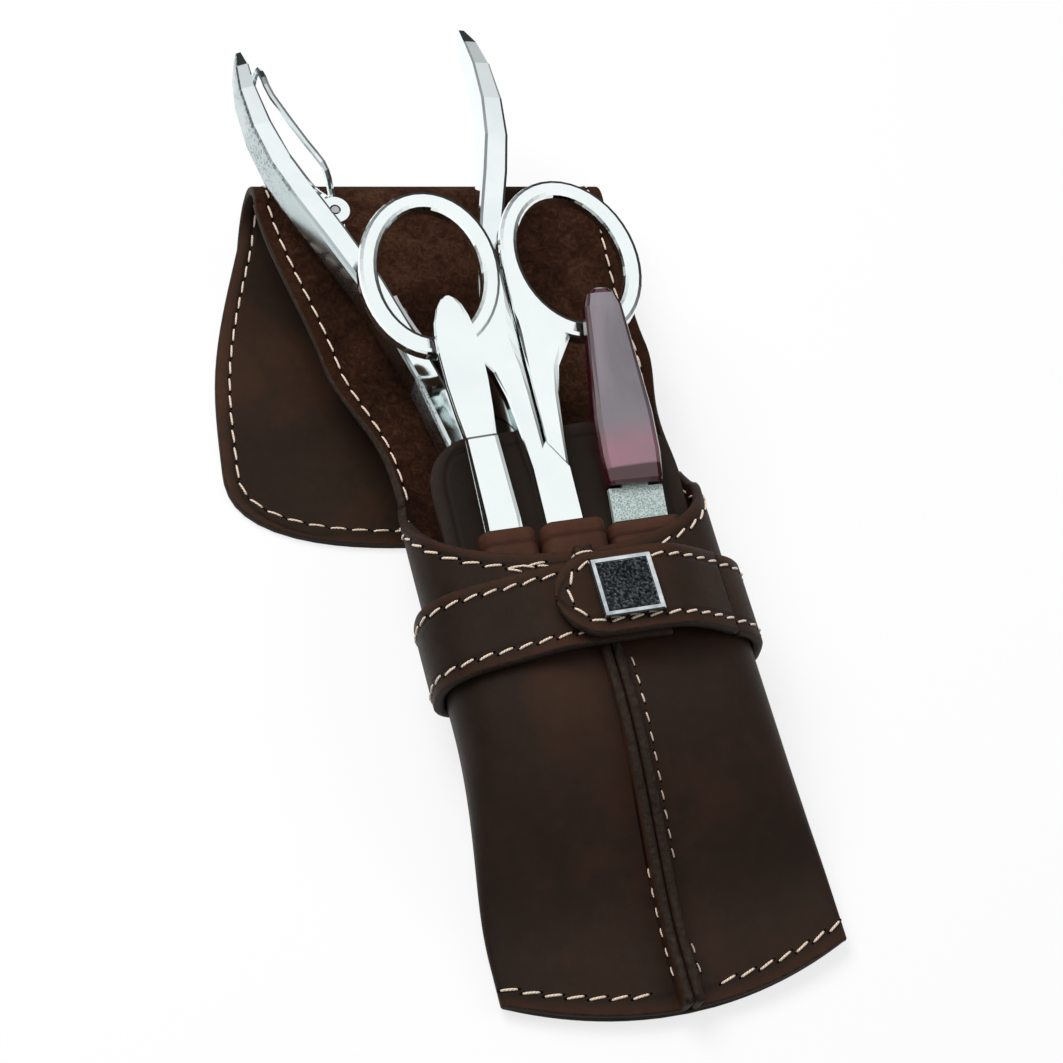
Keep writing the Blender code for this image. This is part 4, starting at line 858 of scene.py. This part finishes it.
BROWN = ((0.010, 0.0065, 0.0045), (0.018, 0.0105, 0.0070), (0.027, 0.0140, 0.0088))
grain = grain_leather("grain_leather", *BROWN)
inside = suede("suede", (0.007, 0.0032, 0.0020), (0.024, 0.0100, 0.0055), (0.062, 0.029, 0.0165))
edge = cut_edge("cut_edge")
divider_finish = grain_leather("divider_leather", (0.009, 0.0065, 0.0050), (0.014, 0.0100, 0.0075),
                               (0.019, 0.0135, 0.0100), (0.030, 0.019, 0.014))
loop_finish = grain_leather("loop_leather", (0.022, 0.0085, 0.0055), (0.044, 0.0185, 0.0120),
                            (0.070, 0.030, 0.019))
cream = thread()
# Near-black leather finish for the needle holes: painted shade inside each hole.
painted_hole_shade = grain_leather("needle_hole_shade_disc", (0.0015, 0.0010, 0.0008), (0.0025, 0.0016, 0.0012),
                            (0.004, 0.0026, 0.0018), (0.003, 0.0016, 0.0010))

# Case body

BACK_SHARES = spread(0, SIDE_COLUMN_SHARE, 16)
FRONT_SHARES = spread(SIDE_COLUMN_SHARE, 0.93, 26)[1:] + [0.955, 0.975, 1.0]
FIN_STEPS = [1 + s for s in (0.12, 0.25, 0.37, 0.5, 0.75, 1.0)]
half_columns = BACK_SHARES + FRONT_SHARES + FIN_STEPS
tube_columns = [-u for u in reversed(half_columns[1:])] + half_columns
tube_rows = spread(0, MOUTH_SIDE_Y, 64)


def is_back(u):
    return abs(u) <= SIDE_COLUMN_SHARE * 1.0001


def make_body():
    """The tube and the panel: one leather sheet, meeting at the mouth's side corners."""
    tube = [[body_surface(u, y) for u in tube_columns] for y in tube_rows]

    def tube_edge(i, j):
        u = abs(tube_columns[j])
        below = tube_rows[i]
        above = MOUTH_SIDE_Y - tube_rows[i] if u > SIDE_COLUMN_SHARE else 1.0
        fin = (2 - u) * 0.003 if u > 1 else 1.0
        return min(below, above, fin)

    on = MOUTH_SIDE_Y + NEXT
    after = [panel_point(u / SIDE_COLUMN_SHARE, on) if is_back(u) else tube[-1][j] * 2 - tube[-2][j]
             for j, u in enumerate(tube_columns)]
    lower = make_sheet("case_tube", tube, LEATHER, (inside, grain, edge), tube_edge, after=after,
                       flush=lambda i, j: i > 0 and is_back(tube_columns[j]))
    panel_rows = spread(MOUTH_SIDE_Y, FOLD_Y, 34)
    shares = [-u for u in reversed(BACK_SHARES[1:])] + BACK_SHARES
    panel = [[panel_point(u / SIDE_COLUMN_SHARE, y) for u in shares] for y in panel_rows]

    def panel_edge(i, j):
        return (1 - abs(shares[j]) / SIDE_COLUMN_SHARE) * panel_half_width(panel_rows[i])

    before = [body_surface(u, MOUTH_SIDE_Y - NEXT) for u in shares]
    after = [flap_surface(u / SIDE_COLUMN_SHARE * FOLD_WIDTH / 2, NEXT) for u in shares]
    upper = make_sheet("case_panel", panel, LEATHER, (inside, grain, edge), panel_edge, before, after,
                       lambda i, j: True)
    return lower, upper


lower, upper = make_body()
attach(lower, "case")
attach(upper, "case")
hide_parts("body_shell")

# Flap


def make_flap():
    rows = spread(0, BEND_RADIUS * (pi + wedge_angle()), 20)
    rows += spread(rows[-1], FLAP_LENGTH - FLAP_CORNER, 16)[1:]
    turns = (8, 16, 24, 32, 40, 48, 56, 63, 69, 74, 79, 83, 86, 88.5)
    rows += [FLAP_LENGTH - FLAP_CORNER * (1 - sin(radians(turn))) for turn in turns]
    columns = spread(-1, 1, 32)
    grid = [[flap_surface(flap_half_width(v) * s, v) for s in columns] for v in rows]
    before = [panel_point(s, FOLD_Y - NEXT) for s in columns]

    def flap_edge(i, j):
        return min((1 - abs(columns[j])) * flap_half_width(rows[i]), FLAP_LENGTH - rows[i])

    return make_sheet("case_flap", grid, LEATHER, (inside, grain, edge), flap_edge, before,
                      flush=lambda i, j: i == 0)


def across_the_fold(piece):
    """Bakes the piece's placement into its mesh; the bend from the panel to the flap lies in the flap's
    own surface.
    """
    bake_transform(piece)


flap = make_flap()
across_the_fold(flap)
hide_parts("flap_panel")

# Divider and loops


def make_divider():
    rows = spread(DIVIDER_FOOT_Y, DIVIDER_TOP_Y - DIVIDER_CORNER, 20)
    halves = [DIVIDER_WIDTH / 2 * mix(DIVIDER_FOOT_SHARE, 1, smooth(y, DIVIDER_FOOT_Y, DIVIDER_KNEE_Y))
              for y in rows]
    for turn in (10, 20, 30, 40, 50, 60, 68, 76, 84, 90):
        rows.append(DIVIDER_TOP_Y - DIVIDER_CORNER * (1 - sin(radians(turn))))
        halves.append(DIVIDER_WIDTH / 2 - DIVIDER_CORNER * (1 - cos(radians(turn))))
    columns = spread(-1, 1, 16)
    grid = [[Vector((half * s, y, divider_z(y))) for s in columns] for y, half in zip(rows, halves)]

    def divider_edge(i, j):
        return min((1 - abs(columns[j])) * halves[i], DIVIDER_TOP_Y - rows[i])

    finishes = (divider_finish, divider_finish, edge)
    return make_sheet("divider", grid, DIVIDER_THICKNESS, finishes, divider_edge)


divider = make_divider()
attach(divider, "case")
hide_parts("divider_panel")


def loop_section():
    section = [(LOOPS[0][0] - LOOP_TOE, 0), (LOOPS[0][0] - LOOP_TOE / 2, 0)]
    for left, right, rise in LOOPS:
        foot, top = LOOP_FOOT_RADIUS, LOOP_TOP_RADIUS
        half = [(foot * sin(radians(t)), foot * (1 - cos(radians(t))))
                for t in (0, 15, 30, 45, 60, 72, 84)]
        wall_low, wall_high = half[-1][1], rise - top * (1 - sin(radians(6)))
        half += [(foot, mix(wall_low, wall_high, s)) for s in (0.33, 0.66)]
        half += [(foot + top * (1 - cos(radians(t))), rise - top * (1 - sin(radians(t))))
                 for t in (6, 20, 35, 50, 65, 80, 90)]
        section += [(left + x, h) for x, h in half]
        section += [(mix(left + foot + top, right - foot - top, s), rise) for s in (0.25, 0.5, 0.75)]
        section += [(right - x, h) for x, h in reversed(half[1:])]
    return section + [(LOOPS[2][1], 0), (LOOPS[2][1] + LOOP_TOE / 2, 0), (LOOPS[2][1] + LOOP_TOE, 0)]


def make_loops():
    seat = (DIVIDER_THICKNESS + LOOP_LEATHER) / 2 + GAP * 2
    section = loop_section()
    highest = max(loop[2] for loop in LOOPS)
    shares = spread(0, 1, 8)
    grid = []
    for share in shares:
        line = []
        for x, rise in section:
            top = LOOP_STRIP_TOP_Y - LOOP_SCALLOP * (1 - rise / highest)
            y = mix(LOOP_STRIP_LOW_Y, top, share)
            line.append(Vector((x, y, divider_z(min(y, DIVIDER_KNEE_Y)) + seat + rise)))
        grid.append(line)

    def loop_edge(i, j):
        return min(shares[i], 1 - shares[i]) * 0.011

    return make_sheet("tool_loops", grid, LOOP_LEATHER, (loop_finish, inside, edge), loop_edge)


loops = make_loops()
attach(loops, "case")
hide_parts("loop_strip")

# Strap


def fin_top_lift():
    return SEAM_FIN_HIGH - LEATHER / 2


def band_path():
    lift = fin_top_lift()
    round_the_back = spread(STRAP_SHOULDER_SHARE, -STRAP_SHOULDER_SHARE, 90)
    path = [strap_point(s, lift, CREST_FADE) for s in round_the_back]
    seam = tube_point(1.0, STRAP_Y).x
    path += [strap_point(share_at_x(x), lift, CREST_FADE) for x in spread(path[-1].x, seam, 26)[1:]]
    path += [strap_point(share_at_x(x), lift, CREST_FADE) for x in spread(seam, BAND_END_X, 10)[1:]]
    return path


def tab_path():
    lift = fin_top_lift() + STRAP_THICKNESS + SNAP_GAP
    shoulder = strap_point(STRAP_SHOULDER_SHARE, lift, TAB_FADE)
    seam = tube_point(1.0, STRAP_Y).x
    start = TAB_END_X + STRAP_WIDTH / 2
    places = spread(shoulder.x, seam, 34)[:-1] + spread(seam, start, 6)[:-1]
    path = [strap_point(share_at_x(x), lift, TAB_FADE) for x in places]
    path[0] = shoulder
    widths = [STRAP_WIDTH / 2] * len(path)
    for turn in (0, 10, 20, 30, 40, 50, 58, 66, 73, 79, 84, 88):
        x = start - (STRAP_WIDTH / 2) * sin(radians(turn))
        path.append(strap_point(share_at_x(x), lift, TAB_FADE))
        widths.append(STRAP_WIDTH / 2 * cos(radians(turn)))
    return path, widths


def make_band(name, path, widths, outward):
    columns = spread(-1, 1, 10)
    if outward < 0:
        columns = columns[::-1]
    grid = [[p + Vector((0, s * w, 0)) for s in columns] for p, w in zip(path, widths)]

    def strap_edge(i, j):
        return (1 - abs(columns[j])) * widths[i]

    return make_sheet(name, grid, STRAP_THICKNESS, (inside, grain, edge), strap_edge)


def step_along(path, distance):
    ahead = (path[1] - path[0]).normalized()
    return [path[0] + ahead * distance] + path[1:]


the_band = step_along(band_path(), GAP / 4)
band = make_band("strap", the_band, [STRAP_WIDTH / 2] * len(the_band), 1)
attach(band, "case")
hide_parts("strap_band")
the_tab, tab_widths = tab_path()
the_tab = step_along(the_tab, GAP / 4)
tab = make_band("strap_end", the_tab, tab_widths, -1)
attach(tab, "tab")
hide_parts("strap_tab")

# Stitching


def on_body(u, y):
    normal = normal_of(body_surface, u, y, 0.004, 0.0004)
    return body_surface(u, y), normal


def on_panel(share, y):
    surface = panel_point
    normal = normal_of(surface, share, y, 0.01, 0.0004)
    return panel_point(share, y), normal


def on_flap(x, v):
    normal = normal_of(flap_surface, x, v, 0.0005, 0.0002)
    return flap_surface(x, v), normal


def outward(pair, away_from):
    point, normal = pair
    if (point - away_from).dot(normal) < 0:
        normal = -normal
    return point, normal


def tube_middle(y):
    return Vector((-FRONT_LEAN_SHARE * tube_depth(y) / 2, y, tube_depth(y) / 2))


def mouth_path(side, low, high, inset, face):
    path = []
    for u in spread(low, high, 60):
        y = MOUTH_SIDE_Y - inset / (0.72 if u < 0.9 else 0.95)
        point, normal = outward(on_body(side * u, y), tube_middle(y))
        path.append((point + normal * face * LEATHER / 2, normal * face))
    return path


def bottom_path(low, high):
    path = []
    for u in spread(low, high, 60):
        point, normal = on_body(u, BOTTOM_INSET)
        up = Vector((0, 0, 1 if abs(u) > 0.5 else -1))
        normal = normal if normal.dot(up) > 0 else -normal
        path.append((point + normal * LEATHER / 2, normal))
    return path


def seam_path(side, low, high):
    path = []
    for y in spread(low, high, 40):
        point = body_surface(side * 1.5, y).lerp(body_surface(side * 2.0, y), 0.30)
        normal = Vector((side, 0, 0))
        path.append((point + normal * LEATHER / 2, normal))
    return path


def root_path(low, high):
    """On the leather to the right of the seam, just clear of the turned-out edges."""
    path = []
    for row_y in spread(low, high, 40):
        seam = tube_point(1.0, tube_row_y(1.0, row_y)).x
        near, far = 0.90, 1.0
        for _ in range(30):
            u = (near + far) / 2
            near, far = (u, far) if body_surface(u, row_y).x - seam > SEAM_ROW else (near, u)
        point, normal = outward(on_body(near, row_y), tube_middle(row_y))
        path.append((point + normal * LEATHER / 2, normal))
    return path


def panel_path(side, face):
    path = []
    for y in spread(MOUTH_SIDE_Y + 0.001, FOLD_Y, 60):
        share = side * (1 - STITCH_INSET / panel_half_width(y))
        point, normal = on_panel(share, y)
        normal = normal if normal.z > 0 else -normal
        path.append((point + normal * face * LEATHER / 2, normal * face))
    return path


def seam_arch():
    """The thread that ties off over the seam's top end."""
    y = MOUTH_CENTRE_Y - BOTTOM_INSET / 2
    root = tube_point(1.0, y)
    rise = fin_height(y) + THREAD * 1.5
    line, up = [], []
    for turn in spread(0, 180, 12):
        across, lift = cos(radians(turn)), sin(radians(turn)) ** 0.6
        line.append(root + Vector((across * (LEATHER + GAP), 0, lift * rise)))
        up.append(Vector((across, 0, lift + 0.01)).normalized())
    return line, up


def loop_tacks():
    """A short zigzag of thread between the loops, at the strip's top edge."""
    arches = []
    for x in (LOOPS[1][0], LOOPS[1][1]):
        top = LOOP_STRIP_TOP_Y - LOOP_SCALLOP
        for low, high, lean in ((top - 0.0042, top - 0.0021, 0.0004), (top - 0.0021, top, -0.0004)):
            line = []
            for t in spread(0, 1, 5):
                y = mix(low, high, t)
                z = divider_z(y) + (DIVIDER_THICKNESS + LOOP_LEATHER) / 2 + GAP * 2 + LOOP_LEATHER / 2
                line.append(Vector((x + lean * (t - 0.5) * 2, y, z + THREAD * (1.6 * sin(pi * t) - 0.6))))
            arches.append((line, [Vector((0, 0, 1))] * len(line)))
    return arches


def stitch_the_case():
    sewn = (STITCH_PITCH, STITCH_LENGTH, THREAD, 0.22)
    straight = (STITCH_PITCH, STITCH_LENGTH, THREAD * 0.9, 0.07)
    fine = (0.0030, 0.0017, THREAD * 0.7, 0.1)
    tacked = (0.0028, 0.0024, THREAD, -0.15)
    sides, faces = (-1, 1), (1, -1)
    runs = [(mouth_path(side, 0.40, 0.955, MOUTH_INSET, face), *sewn) for side in sides for face in faces]
    runs += [(mouth_path(side, 0.87, 0.962, MOUTH_INSET * 1.25, 1), *tacked) for side in sides]
    bottom = ((0.52, 0.965), (-0.965, -0.52), (-0.48, 0.48))
    runs += [(bottom_path(low, high), *sewn) for low, high in bottom]
    runs += [(root_path(low, high), *fine) for low, high in ((0.0045, 0.011), (0.0225, 0.0560))]
    runs += [(seam_path(-1, 0.0045, 0.0225), *fine)]
    runs += [(panel_path(side, face), *straight) for side in sides for face in faces]
    make_stitches("case_stitching", runs, "case", [seam_arch()] + loop_tacks())


def flap_outline():
    """(x, v) round the flap, inset from its edge, from the fold's left end to its right end."""
    rim = []
    for v in spread(0.0005, FLAP_LENGTH - FLAP_CORNER, 50):
        rim.append(Vector((-flap_half_width(v), v)))
    for turn in spread(2, 90, 44):
        v = FLAP_LENGTH - FLAP_CORNER * (1 - sin(radians(turn)))
        rim.append(Vector((-flap_half_width(v), v)))
    rim += [Vector((-p.x, p.y)) for p in reversed(rim[:-1])]
    inset = []
    for i, p in enumerate(rim):
        ahead = rim[min(i + 1, len(rim) - 1)] - rim[max(i - 1, 0)]
        ahead.normalize()
        inset.append(p + Vector((ahead.y, -ahead.x)) * STITCH_INSET)
    return [p for p in inset if p.y >= 0.0005]


def stitch_the_flap():
    middle = fold_point() - Vector((0, 0, BEND_RADIUS))
    arc = BEND_RADIUS * (pi + wedge_angle())
    paths = []
    for face in (1, -1):
        path = []
        for p in flap_outline():
            point, normal = on_flap(p.x, p.y)
            away = point - middle if p.y < arc else Vector((0, 0, -1))
            if normal.dot(away) < 0:
                normal = -normal
            path.append((point + normal * face * LEATHER / 2, normal * face))
        paths.append((path, STITCH_PITCH, STITCH_LENGTH, THREAD * 0.9, 0.07))
    make_stitches("flap_stitching", paths, "flap")


def strap_frames(path):
    """Outward normals along a strap's path."""
    frames = []
    for i, p in enumerate(path):
        ahead = (path[min(i + 1, len(path) - 1)] - path[max(i - 1, 0)]).normalized()
        normal = Vector((-ahead.z, 0, ahead.x)).normalized()
        if (p - tube_middle(STRAP_Y)).dot(normal) < 0:
            normal = -normal
        frames.append((p, normal))
    return frames


def stitch_the_strap():
    inset = STRAP_WIDTH / 2 - 0.0022
    sewn = (0.0032, 0.0025, THREAD, 0.22)
    runs = []
    for side in (-1, 1):
        row = Vector((0, side * inset, 0))
        runs.append(([(p + n * STRAP_THICKNESS / 2 + row, n) for p, n in strap_frames(the_band)], *sewn))
    make_stitches("strap_stitching", runs, "case")
    start = TAB_END_X + STRAP_WIDTH / 2
    low = [(p, n) for p, n in strap_frames(the_tab) if p.x > start]
    path = [(p + Vector((0, -inset, 0)), n) for p, n in low]
    lift = fin_top_lift() + STRAP_THICKNESS + SNAP_GAP
    for turn in spread(-90, 90, 30):
        x = start - inset * cos(radians(turn))
        point = strap_point(share_at_x(x), lift, TAB_FADE) + Vector((0, inset * sin(radians(turn)), 0))
        path.append((point, Vector((0, 0, 1))))
    path += [(p + Vector((0, inset, 0)), n) for p, n in reversed(low)]
    path = [(p + n * STRAP_THICKNESS / 2, n) for p, n in path]
    make_stitches("strap_end_stitching", [(path, *sewn)], "tab")


stitch_the_case()
stitch_the_flap()
stitch_the_strap()

# Tools keep their solids and get finishes

bright = plated("bright_plate")
gripped = plated("grip_plate", dents_and_painted_shade=hammered)
soft_bright = plated("satin_plate", (0.90, 0.96, 0.955), 0.07, (0.84, 0.91, 0.91))
satin = brushed("satin_steel", (0.62, 0.63, 0.64), (0.42, 0.43, 0.45), 0.28)
FINISHES = {
    "nipper_left_half": gripped, "nipper_right_half": bright, "nipper_bail": bright,
    "nipper_rivet": satin, "nipper_bail_pin": satin, "nipper_spring": satin, "nipper_spring_screw": satin,
    "scissors_left_half": soft_bright, "scissors_right_half": soft_bright, "scissors_screw": satin,
    "tweezers_front_arm": soft_bright, "tweezers_back_arm": soft_bright,
    "file_blade": grit(), "file_handle": burgundy(), "badge_cap": badge_metal(),
    "snap_stud": satin, "snap_socket": satin,
}
for node, finish in FINISHES.items():
    NODES[node].material_slots[0].material = finish

# Floor, light and camera

WORLD_LEVEL = 0.38


def make_floor():
    size = 1.5
    mesh = bpy.data.meshes.new("floor")
    corners = [(-size, -size, 0), (size, -size, 0), (size, size, 0), (-size, size, 0)]
    mesh.from_pydata(corners, [], [(0, 1, 2, 3)])
    mesh.materials.append(floor_material())
    obj = bpy.data.objects.new("floor", mesh)
    obj.location.z = -0.00005
    bpy.context.scene.collection.objects.link(obj)


def make_light(name, place, aim, size, energy):
    lamp = bpy.data.lights.new(name, "AREA")
    lamp.shape = "RECTANGLE"
    lamp.size, lamp.size_y = size
    lamp.energy = energy
    obj = bpy.data.objects.new(name, lamp)
    obj.location = place
    obj.rotation_euler = (Vector(aim) - Vector(place)).to_track_quat("-Z", "Y").to_euler()
    obj.visible_glossy = False
    bpy.context.scene.collection.objects.link(obj)


def make_world():
    """Even white light. Polished metal sees it fade from white overhead to dark at the horizon."""
    world = bpy.data.worlds.new("studio")
    bpy.context.scene.world = world
    world.use_nodes = True
    tree = world.node_tree
    even = tree.nodes["Background"]
    even.inputs["Color"].default_value = (1.0, 1.0, 1.0, 1.0)
    even.inputs["Strength"].default_value = WORLD_LEVEL
    seen = tree.nodes.new("ShaderNodeBackground")
    seen.inputs["Color"].default_value = (1.0, 1.0, 1.0, 1.0)
    seen.inputs["Strength"].default_value = 1.0
    mirrored = tree.nodes.new("ShaderNodeBackground")
    mirrored.inputs["Strength"].default_value = 1.0
    direction = tree.nodes.new("ShaderNodeTexCoord").outputs["Generated"]
    height = tree.nodes.new("ShaderNodeSeparateXYZ")
    tree.links.new(direction, height.inputs[0])
    band = tree.nodes.new("ShaderNodeValToRGB")
    stops = ((0.0, 0.40), (0.07, 0.20), (0.14, 0.04), (0.47, 0.04), (0.66, 0.34), (0.84, 1.0))
    while len(band.color_ramp.elements) < len(stops):
        band.color_ramp.elements.new(0.5)
    for element, (place, level) in zip(band.color_ramp.elements, stops):
        element.position = place
        element.color = (level, level, level, 1.0)
    tree.links.new(height.outputs["Z"], band.inputs["Fac"])
    tree.links.new(band.outputs["Color"], mirrored.inputs["Color"])
    path = tree.nodes.new("ShaderNodeLightPath")
    either = tree.nodes.new("ShaderNodeMath")
    either.operation = "MAXIMUM"
    tree.links.new(path.outputs["Is Camera Ray"], either.inputs[0])
    tree.links.new(path.outputs["Is Transmission Ray"], either.inputs[1])
    gloss = tree.nodes.new("ShaderNodeMixShader")
    tree.links.new(path.outputs["Is Glossy Ray"], gloss.inputs["Fac"])
    tree.links.new(even.outputs[0], gloss.inputs[1])
    tree.links.new(mirrored.outputs[0], gloss.inputs[2])
    choice = tree.nodes.new("ShaderNodeMixShader")
    tree.links.new(either.outputs[0], choice.inputs["Fac"])
    tree.links.new(gloss.outputs[0], choice.inputs[1])
    tree.links.new(seen.outputs[0], choice.inputs[2])
    tree.links.new(choice.outputs[0], tree.nodes["World Output"].inputs["Surface"])


def make_camera():
    """The photograph's view: lens, turn and distance fitted to the case's outline."""
    focal, centre, distance = 2400.0, 531.5, 0.371
    pitch = radians(25)
    across = Vector((cos(radians(8)), -sin(radians(8))))
    upward = Vector((-sin(radians(16)), -cos(radians(16))))
    yaw = atan(-across.dot(upward) * cos(pitch) / sin(pitch))
    ex = Vector((cos(yaw) * across.x, cos(yaw) * across.y, sin(yaw)))
    ey = Vector((cos(pitch) * upward.x, cos(pitch) * upward.y, sin(pitch)))
    turn = Matrix((ex, ey, ex.cross(ey))).transposed()
    anchor = Vector(((690 - centre) / focal * distance, (995 - centre) / focal * distance, distance))
    shift = anchor - turn @ Vector((0, 0.002, 0.004))
    flip = Matrix.Diagonal((1, -1, -1))
    view = Matrix.Translation(flip @ shift) @ (flip @ turn).to_4x4()
    camera = bpy.data.cameras.new("camera")
    camera.sensor_width = 36
    camera.lens = 36 * focal / (2 * centre)
    camera.clip_start = 0.01
    obj = bpy.data.objects.new("camera", camera)
    obj.matrix_world = CASE @ view.inverted()
    bpy.context.scene.collection.objects.link(obj)
    bpy.context.scene.camera = obj


make_floor()
make_light("key", (-0.25, 0.26, 0.58), (0, 0, 0), (0.5, 0.4), 6.4)
make_light("fill", (0.50, -0.20, 0.40), (0, 0, 0), (0.4, 0.4), 1.0)
make_world()
make_camera()
bpy.context.scene.view_settings.view_transform = "Standard"
